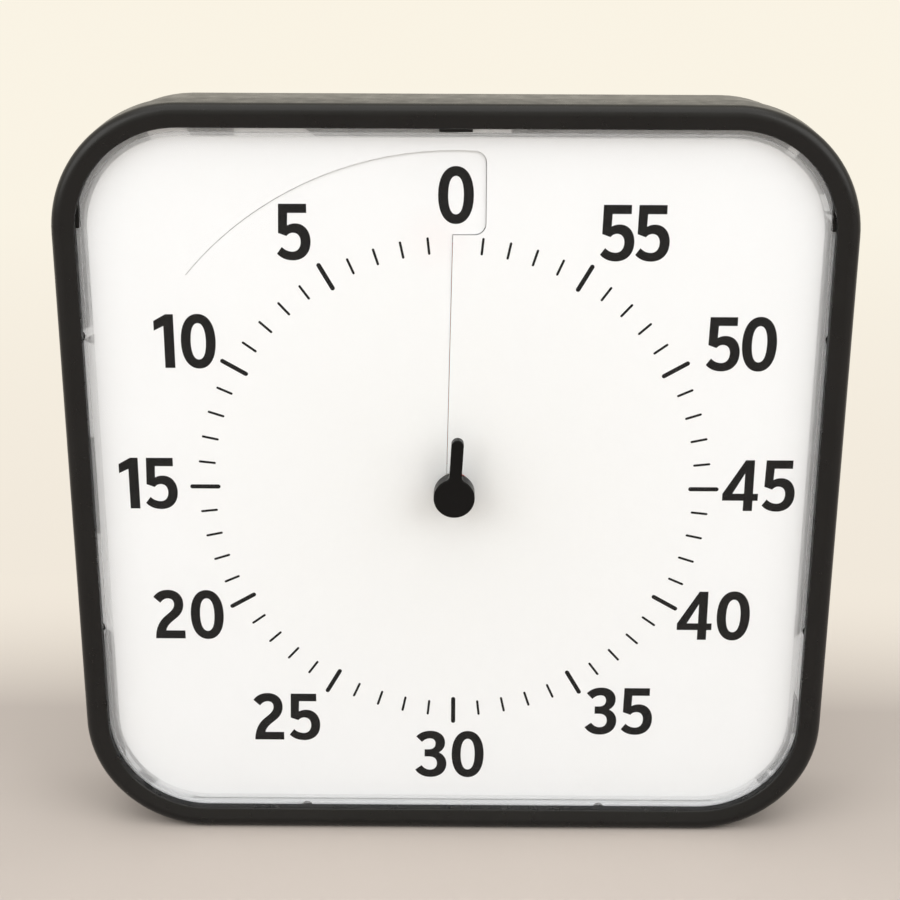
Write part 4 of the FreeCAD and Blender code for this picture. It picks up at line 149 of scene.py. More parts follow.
class TimerFinish(bpy.types.PropertyGroup):
    """Colours of the main pieces."""

    case: colour("Case", "Black moulded plastic", (0.0060, 0.0058, 0.0056, 1))
    knob: colour("Knob", "Black moulded plastic of the knob", (0.0026, 0.0026, 0.0027, 1))
    dial: colour("Dial", "White printed sheet", (0.885, 0.902, 0.911, 1))
    ink: colour("Ink", "Charcoal print", (0.0085, 0.0082, 0.0080, 1))
    disc: colour("Disc", "Red vinyl", (0.62, 0.010, 0.012, 1))
    near_floor: colour("Near floor", "Floor round the timer", (0.50, 0.445, 0.40, 1))
    far_floor: colour("Far floor", "Floor behind the timer", (0.87, 0.80, 0.70, 1))
    backdrop: colour("Backdrop", "Pale surroundings", (0.956, 0.90, 0.78, 1))
    daylight: colour("Daylight", "Light that the surroundings give", (1.0, 0.99, 0.975, 1))


class TimerStage(bpy.types.PropertyGroup):
    """Camera and light."""

    camera: FloatVectorProperty(name="Camera", description="Place of the camera",
                                default=(0.00125, -0.6542, 0.40197), subtype="TRANSLATION")
    aim: FloatVectorProperty(name="Aim", description="Point that the camera looks at",
                             default=(-0.00176, 0.0, 0.1685), subtype="TRANSLATION")
    roll: FloatProperty(name="Roll", description="Turn about the line of sight",
                        default=math.radians(0.236), subtype="ANGLE")
    focal: FloatProperty(name="Focal length", description="In millimetres on a 36 mm sensor",
                         default=70.24, unit="CAMERA")
    lamp_power: FloatProperty(name="Lamp power", description="Soft light from one side, watts",
                              default=10.0, unit="POWER")
    world_light: FloatProperty(name="World light", description="Strength of the surroundings",
                               default=0.62, subtype="FACTOR", min=0.0, max=1.0)


# Mesh helpers

def arc(centre, radius, start, end, steps):
    """Points of a profile along an arc, angles in degrees."""
    points = []
    for i in range(steps + 1):
        turn = math.radians(start + (end - start) * i / steps)
        points.append((centre[0] + radius * math.cos(turn), centre[1] + radius * math.sin(turn)))
    return points


def outline(case, inset, depth):
    """Points round the case's rounded square, moved in by inset, at one depth."""
    half = HALF - inset
    radius = max(case.corner - inset, SMALLEST_RADIUS)
    reach = half - radius
    corners = [(reach, -reach, -90), (reach, reach, 0), (-reach, reach, 90), (-reach, -reach, 180)]
    points = []
    for i, (x, z, start) in enumerate(corners):
        for px, pz in arc((x, z), radius, start, start + 90, case.corner_steps):
            points.append(Vector((px, depth, AXIS_UP + pz)))
        after = corners[(i + 1) % 4]
        first = points[-1]
        turn = math.radians(start + 90)
        last = Vector((after[0] + radius * math.cos(turn), depth,
                       AXIS_UP + after[1] + radius * math.sin(turn)))
        for step in range(1, case.side_steps):
            points.append(first.lerp(last, step / case.side_steps))
    return points


def hole_round(ring, radius, depth):
    """A circle about the dial's axis whose points face those of a ring."""
    points = []
    for point in ring:
        turn = math.atan2(point.z - AXIS_UP, point.x)
        points.append(Vector((radius * math.cos(turn), depth, AXIS_UP + radius * math.sin(turn))))
    return points


def skin(mesh, rings):
    """Join rings of points into a closed skin; the last ring joins the first."""
    loops = [[mesh.verts.new(point) for point in ring] for ring in rings]
    count = len(loops[0])
    for i, loop in enumerate(loops):
        after = loops[(i + 1) % len(loops)]
        for k in range(count):
            nxt = (k + 1) % count
            mesh.faces.new((loop[k], loop[nxt], after[nxt], after[k]))


def block(mesh, low, high, bevel):
    """A box with bevelled edges."""
    made = bmesh.ops.create_cube(mesh, size=1.0)["verts"]
    middle = (Vector(low) + Vector(high)) / 2
    spans = Vector(high) - Vector(low)
    for vert in made:
        vert.co = Vector((middle[i] + vert.co[i] * spans[i] for i in range(3)))
    edges = {edge for vert in made for edge in vert.link_edges}
    bmesh.ops.bevel(mesh, geom=list(edges), offset=bevel, segments=2, affect="EDGES")


def finished_mesh(mesh, name, sharp=32):
    """Turn a bmesh into a mesh that points outwards and shades smoothly up to an angle."""
    bmesh.ops.recalc_face_normals(mesh, faces=mesh.faces[:])
    data = bpy.data.meshes.new(name)
    mesh.to_mesh(data)
    mesh.free()
    for polygon in data.polygons:
        polygon.use_smooth = True
    data.set_sharp_from_angle(angle=math.radians(sharp))
    return data


def add_piece(name, data, material, body, nodes):
    """Put a mesh in the scene, on its body and in place of its nodes."""
    piece = bpy.data.objects.new(name, data)
    bpy.context.scene.collection.objects.link(piece)
    data.materials.clear()
    data.materials.append(material)
    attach(piece, body)
    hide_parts(*nodes)
    return piece


# Materials. These are the Mix node's colour sockets.
MIX_COLOURS_IN = (6, 7)
MIX_COLOUR_OUT = 2


def new_material(name):
    """An empty material with a Principled shader, and handles to its tree."""
    material = bpy.data.materials.new(name)
    material.use_nodes = True
    tree = material.node_tree
    shader = [node for node in tree.nodes if node.type == "BSDF_PRINCIPLED"][0]
    return material, tree, shader


def noise(tree, scale, detail=3.0, stretch=(1, 1, 1)):
    """Noise on Object coordinates; scale counts lumps in a metre."""
    coordinate = tree.nodes.new("ShaderNodeTexCoord")
    mapping = tree.nodes.new("ShaderNodeMapping")
    mapping.inputs["Scale"].default_value = stretch
    texture = tree.nodes.new("ShaderNodeTexNoise")
    texture.inputs["Scale"].default_value = scale
    texture.inputs["Detail"].default_value = detail
    tree.links.new(coordinate.outputs["Object"], mapping.inputs["Vector"])
    tree.links.new(mapping.outputs["Vector"], texture.inputs["Vector"])
    return texture.outputs["Fac"]


def surface_value(tree, kind, axis):
    """One axis of a texture coordinate, such as Object or Normal."""
    coordinate = tree.nodes.new("ShaderNodeTexCoord")
    parts = tree.nodes.new("ShaderNodeSeparateXYZ")
    tree.links.new(coordinate.outputs[kind], parts.inputs["Vector"])
    return parts.outputs[axis]


def ranged(tree, value, low, high, start=0.3, end=0.7):
    """Map a value from start..end to low..high, clamped."""
    node = tree.nodes.new("ShaderNodeMapRange")
    node.inputs["From Min"].default_value = start
    node.inputs["From Max"].default_value = end
    node.inputs["To Min"].default_value = low
    node.inputs["To Max"].default_value = high
    tree.links.new(value, node.inputs["Value"])
    return node.outputs["Result"]


def maths(tree, operation, first, second):
    """One step of arithmetic on numbers or sockets."""
    node = tree.nodes.new("ShaderNodeMath")
    node.operation = operation
    for i, value in enumerate((first, second)):
        if isinstance(value, bpy.types.NodeSocket):
            tree.links.new(value, node.inputs[i])
        else:
            node.inputs[i].default_value = value
    return node.outputs["Value"]


def mixed(tree, amount, first, second):
    """Mix two colours; each is a colour or a socket."""
    node = tree.nodes.new("ShaderNodeMix")
    node.data_type = "RGBA"
    for i, value in zip(MIX_COLOURS_IN, (first, second)):
        if isinstance(value, bpy.types.NodeSocket):
            tree.links.new(value, node.inputs[i])
        else:
            node.inputs[i].default_value = value
    tree.links.new(amount, node.inputs["Factor"])
    return node.outputs[MIX_COLOUR_OUT]


def bump(tree, shader, height, depth):
    """Bump a shader by a height; depth is in metres."""
    node = tree.nodes.new("ShaderNodeBump")
    node.inputs["Strength"].default_value = 1.0
    node.inputs["Distance"].default_value = depth
    tree.links.new(height, node.inputs["Height"])
    tree.links.new(node.outputs["Normal"], shader.inputs["Normal"])


def shade(base, factor):
    """A colour made lighter or darker."""
    return tuple(min(1.0, base[i] * factor) for i in range(3)) + (1.0,)


def tinted(base, shares):
    """A colour with its red, green and blue each multiplied by a share."""
    return tuple(base[i] * shares[i] for i in range(3)) + (1.0,)


def moulded(name, base, rough, grain=0.35 * MM, depth=0.012 * MM, spread=0.16, gloss=0.5):
    """Moulded plastic: fine spark grain, uneven gloss, a little colour drift."""
    material, tree, shader = new_material(name)
    drift = ranged(tree, noise(tree, scale=42), low=0.0, high=1.0)
    tree.links.new(mixed(tree, drift, shade(base, 1 - spread), shade(base, 1 + spread)),
                   shader.inputs["Base Color"])
    uneven = noise(tree, scale=160, detail=5.0)
    tree.links.new(ranged(tree, uneven, low=rough - 0.05, high=rough + 0.07),
                   shader.inputs["Roughness"])
    shader.inputs["Specular IOR Level"].default_value = gloss
    bump(tree, shader, noise(tree, scale=1 / grain, detail=2.0), depth)
    return material


def metal(name, base, rough, stretch=(1, 1, 1), lumps=900):
    """Plated or turned metal with fine machining lines."""
    material, tree, shader = new_material(name)
    shader.inputs["Metallic"].default_value = 1.0
    lines = noise(tree, lumps, detail=4.0, stretch=stretch)
    amount = ranged(tree, lines, low=0, high=1)
    tree.links.new(mixed(tree, amount, shade(base, 0.86), shade(base, 1.08)),
                   shader.inputs["Base Color"])
    uneven = noise(tree, scale=120, detail=4.0)
    tree.links.new(ranged(tree, uneven, low=rough - 0.06, high=rough + 0.1),
                   shader.inputs["Roughness"])
    bump(tree, shader, lines, depth=0.006 * MM)
    return material


def distance_from(tree, place):
    """Distance of a point on the surface from a fixed place."""
    coordinate = tree.nodes.new("ShaderNodeTexCoord")
    node = tree.nodes.new("ShaderNodeVectorMath")
    node.operation = "DISTANCE"
    node.inputs[1].default_value = place
    tree.links.new(coordinate.outputs["Object"], node.inputs[0])
    return node.outputs["Value"]


def printed_sheet(base):
    """Matt white sheet, darker and warmer to the middle; painted pink light by the slit."""
    material, tree, shader = new_material("dial_sheet_white")
    # A radial tone: the sheet's colour is a little darker and warmer towards the middle.
    centre = distance_from(tree, (0, 0, AXIS_UP))
    inwards = ranged(tree, centre, low=1.0, high=0.0, start=15 * MM, end=115 * MM)
    darker_warmer_middle = mixed(tree, inwards, tuple(base), tinted(base, (0.965, 0.96, 0.94)))
    # Painted light: a pink tint near the slit's end stands in for red light from the disc behind
    # the slit.
    slit_end = (-8 * MM, 0, AXIS_UP + 101 * MM)
    pink_light_near_slit = ranged(tree, distance_from(tree, slit_end), low=0.55, high=0.0,
                       start=3 * MM, end=15 * MM)
    with_painted_pink_light = mixed(tree, pink_light_near_slit, darker_warmer_middle, tinted(base, (1.0, 0.93, 0.92)))
    cloud = ranged(tree, noise(tree, scale=30), low=0.0, high=0.35)
    tree.links.new(mixed(tree, cloud, with_painted_pink_light, tinted(base, (0.975, 0.975, 0.97))),
                   shader.inputs["Base Color"])
    uneven = noise(tree, scale=260, detail=4.0)
    tree.links.new(ranged(tree, uneven, low=0.42, high=0.55), shader.inputs["Roughness"])
    bump(tree, shader, noise(tree, scale=2600, detail=2.0), depth=0.004 * MM)
    return material


def screen_ink(base):
    """Screen printed ink with a fine mottle."""
    material, tree, shader = new_material("dial_ink")
    mottle = ranged(tree, noise(tree, scale=1500, detail=4.0), low=0.0, high=1.0)
    tree.links.new(mixed(tree, mottle, shade(base, 0.86), shade(base, 1.14)),
                   shader.inputs["Base Color"])
    uneven = noise(tree, scale=300)
    tree.links.new(ranged(tree, uneven, low=0.38, high=0.5), shader.inputs["Roughness"])
    shader.inputs["Specular IOR Level"].default_value = 0.12
    bump(tree, shader, noise(tree, scale=4200, detail=2.0), depth=0.003 * MM)
    return material


def clear_plastic():
    """Clear lens: nearly unseen face on; painted glow on its walls and dark line at its front
    edge.
    """
    material, tree, shader = new_material("lens_clear")
    shader.inputs["IOR"].default_value = 1.58
    facing = maths(tree, "ABSOLUTE", surface_value(tree, "Normal", "Y"), 0.0)
    # Painted light: a white veil on the walls stands in for light carried inside the clear
    # plastic.
    side = ranged(tree, facing, low=0.10, high=0.0, start=0.35, end=0.985)
    gloss = tree.nodes.new("ShaderNodeFresnel")
    gloss.inputs["IOR"].default_value = 1.4
    reflected = maths(tree, "MULTIPLY", gloss.outputs["Fac"], 0.13)
    # Painted dark line on the rounded front edge: a grey band standing in for the black bezel seen
    # in the lens's edge.
    rising = ranged(tree, facing, low=0.0, high=1.0, start=0.25, end=0.5)
    falling = ranged(tree, facing, low=1.0, high=0.0, start=0.6, end=0.88)
    painted_dark_line = maths(tree, "MULTIPLY", rising, falling)
    tree.links.new(mixed(tree, painted_dark_line, (0.95, 0.95, 0.955, 1), (0.24, 0.24, 0.245, 1)),
                   shader.inputs["Base Color"])
    veil = maths(tree, "ADD", maths(tree, "ADD", reflected, side),
                 maths(tree, "MULTIPLY", painted_dark_line, 0.5))
    path = tree.nodes.new("ShaderNodeLightPath")
    cleared = maths(tree, "SUBTRACT", 1.0, path.outputs["Is Shadow Ray"])
    tree.links.new(maths(tree, "MULTIPLY", veil, cleared), shader.inputs["Alpha"])
    uneven = noise(tree, scale=90, detail=5.0)
    tree.links.new(ranged(tree, uneven, low=0.02, high=0.07), shader.inputs["Roughness"])
    return material


def vinyl(base):
    """Flexible red sheet."""
    material, tree, shader = new_material("disc_red")
    drift = ranged(tree, noise(tree, scale=70), low=0.0, high=1.0)
    tree.links.new(mixed(tree, drift, shade(base, 0.93), shade(base, 1.07)),
                   shader.inputs["Base Color"])
    uneven = noise(tree, scale=500, detail=3.0)
    tree.links.new(ranged(tree, uneven, low=0.42, high=0.56), shader.inputs["Roughness"])
    bump(tree, shader, noise(tree, scale=3200, detail=2.0), depth=0.006 * MM)
    return material


def jacket(base):
    """Plain shrink jacket of the cell, with a pale band at one end."""
    material, tree, shader = new_material("cell_jacket")
    along = surface_value(tree, "Object", "X")
    band = ranged(tree, along, low=1.0, high=0.0, start=-23.5 * MM, end=-23.2 * MM)
    pale = (0.62, 0.62, 0.60, 1)
    tree.links.new(mixed(tree, band, tuple(base), pale), shader.inputs["Base Color"])
    uneven = noise(tree, scale=300)
    tree.links.new(ranged(tree, uneven, low=0.22, high=0.34), shader.inputs["Roughness"])
    bump(tree, shader, noise(tree, scale=900), depth=0.01 * MM)
    return material


# Bezel. The crest lies this share of its softness behind the front.
CREST_FALL = 0.08
BOSS_SIDES = 24


def bezel_profile(case):
    """The bezel's section: (inset from the outside, depth), front to back and round."""
    front = BEZEL_BOX[0][1]
    back = BEZEL_BOX[1][1]
    edge = case.edge_round
    crest = case.face - case.slope_wide
    soft = case.crest_soft
    profile = arc((edge, front + edge), edge, start=180, end=270, steps=10)
    slope = Vector((case.slope_wide, case.slope_deep)).normalized()
    profile.append((crest - soft, front))
    profile.append((crest, front + soft * CREST_FALL))
    profile.append((crest + soft * slope.x, front + soft * slope.y))
    lip = case.lip_round
    inward = Vector((-slope.y, slope.x))
    share = (case.face - lip - inward.x * lip - crest) / case.slope_wide
    lip_centre = (case.face - lip, front + case.slope_deep * share + inward.y * lip)
    start = math.degrees(math.atan2(-inward.y, -inward.x))
    profile += arc(lip_centre, lip, start, end=0, steps=8)
    bevel = case.seam_bevel
    profile += [(case.face, -case.rebate), (case.wall, -case.rebate), (case.wall, back),
                (bevel, back), (0, back - bevel)]
    return profile


def clip_places(case):
    """Blocks of the lens clips: top, left and right, as low and high corners."""
    inner = HALF - case.face - case.clip_reach
    outer = HALF - case.face + case.clip_root
    front = -case.rebate - case.clip_sunk
    back = -case.clip_back
    low = AXIS_UP + case.clip_low
    high = AXIS_UP + case.clip_high
    top = ((-case.clip_half, front, AXIS_UP + inner), (case.clip_half, back, AXIS_UP + outer))
    left = ((-outer, front, low), (-inner, back, high))
    right = ((inner, front, low), (outer, back, high))
    return [top, left, right]


def boss_places(case):
    """Axes of the bezel's screw bosses, across and up."""
    away = HALF - case.boss_inset
    places = []
    for sign in (1, -1):
        for other in (1, -1):
            places.append((sign * case.boss_along, other * away))
            places.append((other * away, sign * case.boss_along))
    return places


class TIMER_OT_bezel(bpy.types.Operator):
    """Build the black bezel with its clips and bosses"""

    bl_idname = "timer.bezel"
    bl_label = "Bezel"

    def execute(self, context):
        case = context.scene.timer_case
        mesh = bmesh.new()
        skin(mesh, [outline(case, inset, depth) for inset, depth in bezel_profile(case)])
        for low, high in clip_places(case):
            block(mesh, low, high, case.clip_bevel)
        front = -case.rebate - case.clip_sunk
        along_depth = Matrix.Rotation(math.radians(90), 4, "X")
        for x, z in boss_places(case):
            middle = Vector((x, (front + case.boss_back) / 2, AXIS_UP + z))
            bmesh.ops.create_cone(mesh, cap_ends=True, segments=BOSS_SIDES,
                                  radius1=case.boss_radius, radius2=case.boss_radius,
                                  depth=case.boss_back - front,
                                  matrix=Matrix.Translation(middle) @ along_depth)
        data = finished_mesh(mesh, "bezel")
        finish = context.scene.timer_finish
        add_piece("bezel", data, moulded("bezel_black", finish.case, rough=0.30, gloss=0.28),
                  "case", ["front_bezel"])
        return {"FINISHED"}


# Lens. Its flat faces start this many roundings from the edge.
OUTER_FLAT = 6
INNER_FLAT = 4


class TIMER_OT_lens(bpy.types.Operator):
    """Build the clear lens with its raised face and flange"""

    bl_idname = "timer.lens"
    bl_label = "Lens"

    def execute(self, context):
        case = context.scene.timer_case
        front = LENS_BOX[0][1]
        face = case.face + case.lens_gap
        flange = HALF - LENS_BOX[1][0]
        cave = face + case.lens_wall
        inside = front + case.lens_thick
        edge = case.lens_round
        profile = [(face + edge * OUTER_FLAT, front)]
        profile += arc((face + edge, front + edge), edge, start=270, end=180, steps=6)
        profile += [(face, -case.rebate), (flange, -case.rebate), (flange, 0.0), (cave, 0.0),
                    (cave, inside)]
        rings = [outline(case, inset, depth) for inset, depth in profile]
        inner_flat = outline(case, cave + edge * INNER_FLAT, inside)
        hole_back = hole_round(inner_flat, case.lens_hole, inside)
        hole_front = hole_round(inner_flat, case.lens_hole, front)
        rings += [inner_flat, hole_back, hole_front]
        mesh = bmesh.new()
        skin(mesh, rings)
        data = finished_mesh(mesh, "lens_cover", sharp=40)
        add_piece("lens_cover", data, clear_plastic(), "case", ["lens"])
        return {"FINISHED"}


# Dial

def mark_bar(inner, outer, wide, ink):
    """One printed mark with round ends, standing over the dial's axis at the origin."""
    mesh = bmesh.new()
    half = wide / 2
    points = arc((0, outer - half), half, start=0, end=180, steps=8)
    points += arc((0, inner + half), half, start=180, end=360, steps=8)
    back = [mesh.verts.new((x, 0, z)) for x, z in points]
    front = [mesh.verts.new((x, -ink, z)) for x, z in points]
    mesh.faces.new(back)
    mesh.faces.new(front)
    for i in range(len(points)):
        after = (i + 1) % len(points)
        mesh.faces.new((back[i], back[after], front[after], front[i]))
    return finished_mesh(mesh, "mark_bar")


def marks_tree():
    """Geometry nodes: repeat the input round the dial's axis, long or short marks."""
    tree = bpy.data.node_groups.new("marks_round_the_dial", "GeometryNodeTree")
    add = tree.interface.new_socket
    add(name="Geometry", in_out="INPUT", socket_type="NodeSocketGeometry")
    minutes = add(name="Minutes", in_out="INPUT", socket_type="NodeSocketInt")
    minutes.default_value = MINUTES
    group = add(name="Group", in_out="INPUT", socket_type="NodeSocketInt")
    group.default_value = MINUTES_BETWEEN_LONG_MARKS
    add(name="Long marks", in_out="INPUT", socket_type="NodeSocketBool")
    add(name="Material", in_out="INPUT", socket_type="NodeSocketMaterial")
    add(name="Geometry", in_out="OUTPUT", socket_type="NodeSocketGeometry")
    nodes = tree.nodes
    link = tree.links.new
    source = nodes.new("NodeGroupInput")
    sink = nodes.new("NodeGroupOutput")
    points = nodes.new("GeometryNodePoints")
    link(maths(tree, "SUBTRACT", source.outputs["Minutes"], 1.0), points.inputs["Count"])
    index = nodes.new("GeometryNodeInputIndex")
    minute = maths(tree, "ADD", index.outputs["Index"], 1.0)
    step = maths(tree, "DIVIDE", -2 * math.pi, source.outputs["Minutes"])
    turn = maths(tree, "MULTIPLY", minute, step)
    rest = maths(tree, "MODULO", minute, source.outputs["Group"])
    compare = nodes.new("FunctionNodeCompare")
    compare.data_type = "FLOAT"
    compare.operation = "LESS_THAN"
    link(rest, compare.inputs["A"])
    compare.inputs["B"].default_value = 0.5
    same = nodes.new("FunctionNodeBooleanMath")
    same.operation = "XNOR"
    link(compare.outputs["Result"], same.inputs[0])
    link(source.outputs["Long marks"], same.inputs[1])
    vector = nodes.new("ShaderNodeCombineXYZ")
    link(turn, vector.inputs["Y"])
    place = nodes.new("GeometryNodeInstanceOnPoints")
    link(points.outputs[0], place.inputs["Points"])
    link(same.outputs[0], place.inputs["Selection"])
    link(source.outputs["Geometry"], place.inputs["Instance"])
    link(vector.outputs["Vector"], place.inputs["Rotation"])
    real = nodes.new("GeometryNodeRealizeInstances")
    link(place.outputs["Instances"], real.inputs["Geometry"])
    dress = nodes.new("GeometryNodeSetMaterial")
    link(real.outputs["Geometry"], dress.inputs["Geometry"])
    link(source.outputs["Material"], dress.inputs["Material"])
    link(dress.outputs["Geometry"], sink.inputs["Geometry"])
    return tree


def grown(data, tree, values):
    """Run a geometry tree on a mesh with named inputs and return the plain mesh."""
    carrier = bpy.data.objects.new("carrier", data)
    bpy.context.scene.collection.objects.link(carrier)
    modifier = carrier.modifiers.new("grow", "NODES")
    modifier.node_group = tree
    for socket in tree.interface.items_tree:
        if socket.in_out == "INPUT" and socket.name in values:
            modifier[socket.identifier] = values[socket.name]
    ready = carrier.evaluated_get(bpy.context.evaluated_depsgraph_get())
    result = bpy.data.meshes.new_from_object(ready)
    bpy.data.objects.remove(carrier)
    return result


def leaned(dial, x, z):
    """How far the flap lies behind the sheet's plane at a place about the axis."""
    bend = dial.flap_bend
    slope = dial.flap_drop / (dial.tab_high * math.sin(bend))
    angle = math.atan2(-x, z)
    if 0 < angle < bend:
        return slope * (x * math.cos(bend) + z * math.sin(bend))
    return 0.0


class TIMER_OT_dial(bpy.types.Operator):
    """Finish the dial sheet and numerals, and print the minute marks"""

    bl_idname = "timer.dial"
    bl_label = "Dial"

    def execute(self, context):
        dial = context.scene.timer_dial
        finish = context.scene.timer_finish
        ink = screen_ink(finish.ink)
        wear(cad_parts["dial_sheet"], printed_sheet(finish.dial))
        wear(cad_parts["dial_numerals"], ink)
        tree = marks_tree()
        mesh = bmesh.new()
        for is_long, inner, outer, wide in (
                (True, dial.long_from, dial.long_to, dial.long_wide),
                (False, dial.short_from, dial.short_to, dial.short_wide)):
            bar = mark_bar(inner, outer, wide, dial.ink)
            part = grown(bar, tree, {"Minutes": MINUTES, "Group": MINUTES_BETWEEN_LONG_MARKS,
                                     "Long marks": is_long, "Material": ink})
            mesh.from_mesh(part)
        for vert in mesh.verts:
            vert.co.y += leaned(dial, vert.co.x, vert.co.z)
            vert.co.z += AXIS_UP
        data = finished_mesh(mesh, "minute_marks")
        add_piece("minute_marks", data, ink, "case", ["dial_ticks"])
        return {"FINISHED"}


# Red disc. Rings of points between its hub and its edge, in millimetres.
DISC_RINGS = (9.5, 20, 40, 60, 80, 95)


class TIMER_OT_disc(bpy.types.Operator):
    """Build the flexible red disc that slides out through the slit"""

    bl_idname = "timer.disc"
    bl_label = "Red disc"

    def execute(self, context):
        dial = context.scene.timer_dial
        outer = (DISC_BOX[1][0] - DISC_BOX[0][0]) / 2
        radii = [dial.hub] + [radius * MM for radius in DISC_RINGS] + [outer]
        steps = dial.disc_steps
        mesh = bmesh.new()
        sheets = []
        for thick in (0.0, dial.disc_thin):
            rows = []
            for i in range(steps + 1):
                behind = 2 * math.pi * i / steps
                fall = (1 - dial.disc_keep) * (behind + dial.park) / (2 * math.pi)
                depth = (dial.disc_rise + dial.disc_clear) / (1 - fall) - dial.disc_rise + thick
                turn = dial.park + behind
                rows.append([mesh.verts.new((radius * math.sin(turn), depth,
                                             AXIS_UP + radius * math.cos(turn)))
                             for radius in radii])
            sheets.append(rows)
        count = len(radii)
        for rows in sheets:
            for i in range(steps):
                for k in range(count - 1):
                    mesh.faces.new((rows[i][k], rows[i][k + 1], rows[i + 1][k + 1],
                                    rows[i + 1][k]))
        top, low = sheets
        for i in range(steps):
            for k in (0, count - 1):
                mesh.faces.new((top[i][k], top[i + 1][k], low[i + 1][k], low[i][k]))
        for i in (0, steps):
            for k in range(count - 1):
                mesh.faces.new((top[i][k], top[i][k + 1], low[i][k + 1], low[i][k]))
        data = finished_mesh(mesh, "red_sheet")
        finish = context.scene.timer_finish
        piece = add_piece("red_sheet", data, vinyl(finish.disc), "timer",
                          ["red_disc"])
        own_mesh(piece)
        return {"FINISHED"}


# Pieces that keep their shape

def wear(node, material):
    """Give a CAD node a material in all its slots."""
    for slot in node.material_slots:
        slot.material = material


class TIMER_OT_knob(bpy.types.Operator):
    """Finish the knob"""

    bl_idname = "timer.knob"
    bl_label = "Knob"

    def execute(self, context):
        finish = context.scene.timer_finish
        satin = moulded("knob_black", finish.knob, rough=0.32, grain=0.22 * MM,
                        depth=0.006 * MM, spread=0.2, gloss=0.16)
        wear(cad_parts["knob"], satin)
        return {"FINISHED"}


class TIMER_OT_back(bpy.types.Operator):
    """Finish the back shell, feet, door, switch and pads"""

    bl_idname = "timer.back"
    bl_label = "Back"

    def execute(self, context):
        finish = context.scene.timer_finish
        shell = moulded("shell_black", finish.case, rough=0.31, grain=0.5 * MM,
                        depth=0.014 * MM, gloss=0.8)
        for name in ("back_shell", "battery_door"):
            wear(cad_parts[name], shell)
        smooth = moulded("foot_black", finish.case, rough=0.38, grain=0.3 * MM, depth=0.01 * MM)
        for name in ("foot_left", "foot_right", "sound_switch"):
            wear(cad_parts[name], smooth)
        rubber = moulded("pad_rubber", (0.02, 0.02, 0.02), rough=0.8, grain=0.6 * MM,
                         depth=0.05 * MM)
        wear(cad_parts["rear_pads"], rubber)
        return {"FINISHED"}


class TIMER_OT_inside(bpy.types.Operator):
    """Finish everything inside the case"""

    bl_idname = "timer.inside"
    bl_label = "Inside"

    def execute(self, context):
        steel = metal("zinc_steel", (0.60, 0.60, 0.62), rough=0.32)
        iron = metal("stator_iron", (0.42, 0.42, 0.44), rough=0.42, stretch=(1, 1, 14))
        dark = metal("magnet_dark", (0.12, 0.12, 0.13), rough=0.5)
        copper = metal("winding_copper", (0.66, 0.27, 0.12), rough=0.34, stretch=(14, 1, 1),
                       lumps=700)
        brass = metal("turned_brass", (0.74, 0.55, 0.26), rough=0.28, stretch=(1, 20, 1))
        nylon = moulded("nylon", (0.80, 0.77, 0.68), rough=0.42, grain=0.4 * MM,
                        depth=0.008 * MM, spread=0.05)
        grey = moulded("movement_grey", (0.06, 0.06, 0.065), rough=0.42)
        pale = moulded("frame_grey", (0.62, 0.62, 0.60), rough=0.5, grain=0.5 * MM,
                       depth=0.02 * MM, spread=0.05)
        green = moulded("board_green", (0.02, 0.16, 0.05), rough=0.28, grain=0.9 * MM,
                        depth=0.01 * MM, spread=0.2)
        chip = moulded("chip_black", (0.008, 0.008, 0.008), rough=0.22, grain=1.5 * MM,
                       depth=0.05 * MM)
        red_wire = moulded("wire_red", (0.45, 0.02, 0.02), rough=0.4, grain=0.8 * MM,
                           depth=0.01 * MM)
        grey_wire = moulded("wire_grey", (0.20, 0.20, 0.21), rough=0.4, grain=0.8 * MM,
                            depth=0.01 * MM)
        finishes = {
            steel: ["bezel_screws", "case_screws", "movement_screws", "foot_pin_left",
                    "foot_pin_right", "wheel_posts", "quartz_crystal", "positive_contact",
                    "negative_contact_plate", "negative_contact_spring", "arbor",
                    "clutch_spring"],
            iron: ["stator"],
            dark: ["rotor_magnet"],
            copper: ["coil_winding"],
            brass: ["hub_bush", "hub_nut", "alarm_contact", "sounder_disc"],
            nylon: ["disc_hub", "alarm_cam", "centre_wheel", "third_wheel", "seconds_wheel",
                    "fifth_wheel", "rotor_pinion", "coil_bobbin"],
            grey: ["movement_front_case", "movement_rear_case", "switch_body", "sounder_case",
                   "battery_tray"],
            pale: ["dial_frame"],
            green: ["circuit_board"],
            chip: ["timer_chip"],
            red_wire: ["battery_wires"],
            grey_wire: ["sounder_wires", "switch_wires"],
            jacket((0.03, 0.07, 0.20, 1)): ["battery"],
        }
        for material, names in finishes.items():
            for name in names:
                wear(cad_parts[name], material)
        return {"FINISHED"}


# Stage. Each lamp has its place, its width and its share of the lamp power.
LAMPS = (("ceiling_light", (0.0, -0.45, 1.9), 2.2, 2.1),
         ("left_light", (-1.2, -0.9, 0.9), 1.2, 1.0),
         ("right_light", (1.2, -0.9, 0.9), 1.2, 1.0))
FLOOR_HALF = 12.0


def area_lamp(name, place, aim, wide, power):
    """A soft square lamp."""
    light = bpy.data.lights.new(name, "AREA")
    light.size = wide
    light.energy = power
    lamp = bpy.data.objects.new(name, light)
    lamp.location = place
    lamp.rotation_euler = (Vector(aim) - Vector(place)).to_track_quat("-Z", "Y").to_euler()
    bpy.context.scene.collection.objects.link(lamp)


def seen_directly(tree):
    """One for what the camera sees, also in a reflection or through the lens."""
    path = tree.nodes.new("ShaderNodeLightPath")
    either = maths(tree, "MAXIMUM", path.outputs["Is Camera Ray"], path.outputs["Is Glossy Ray"])
    return maths(tree, "MAXIMUM", either, path.outputs["Is Transmission Ray"])


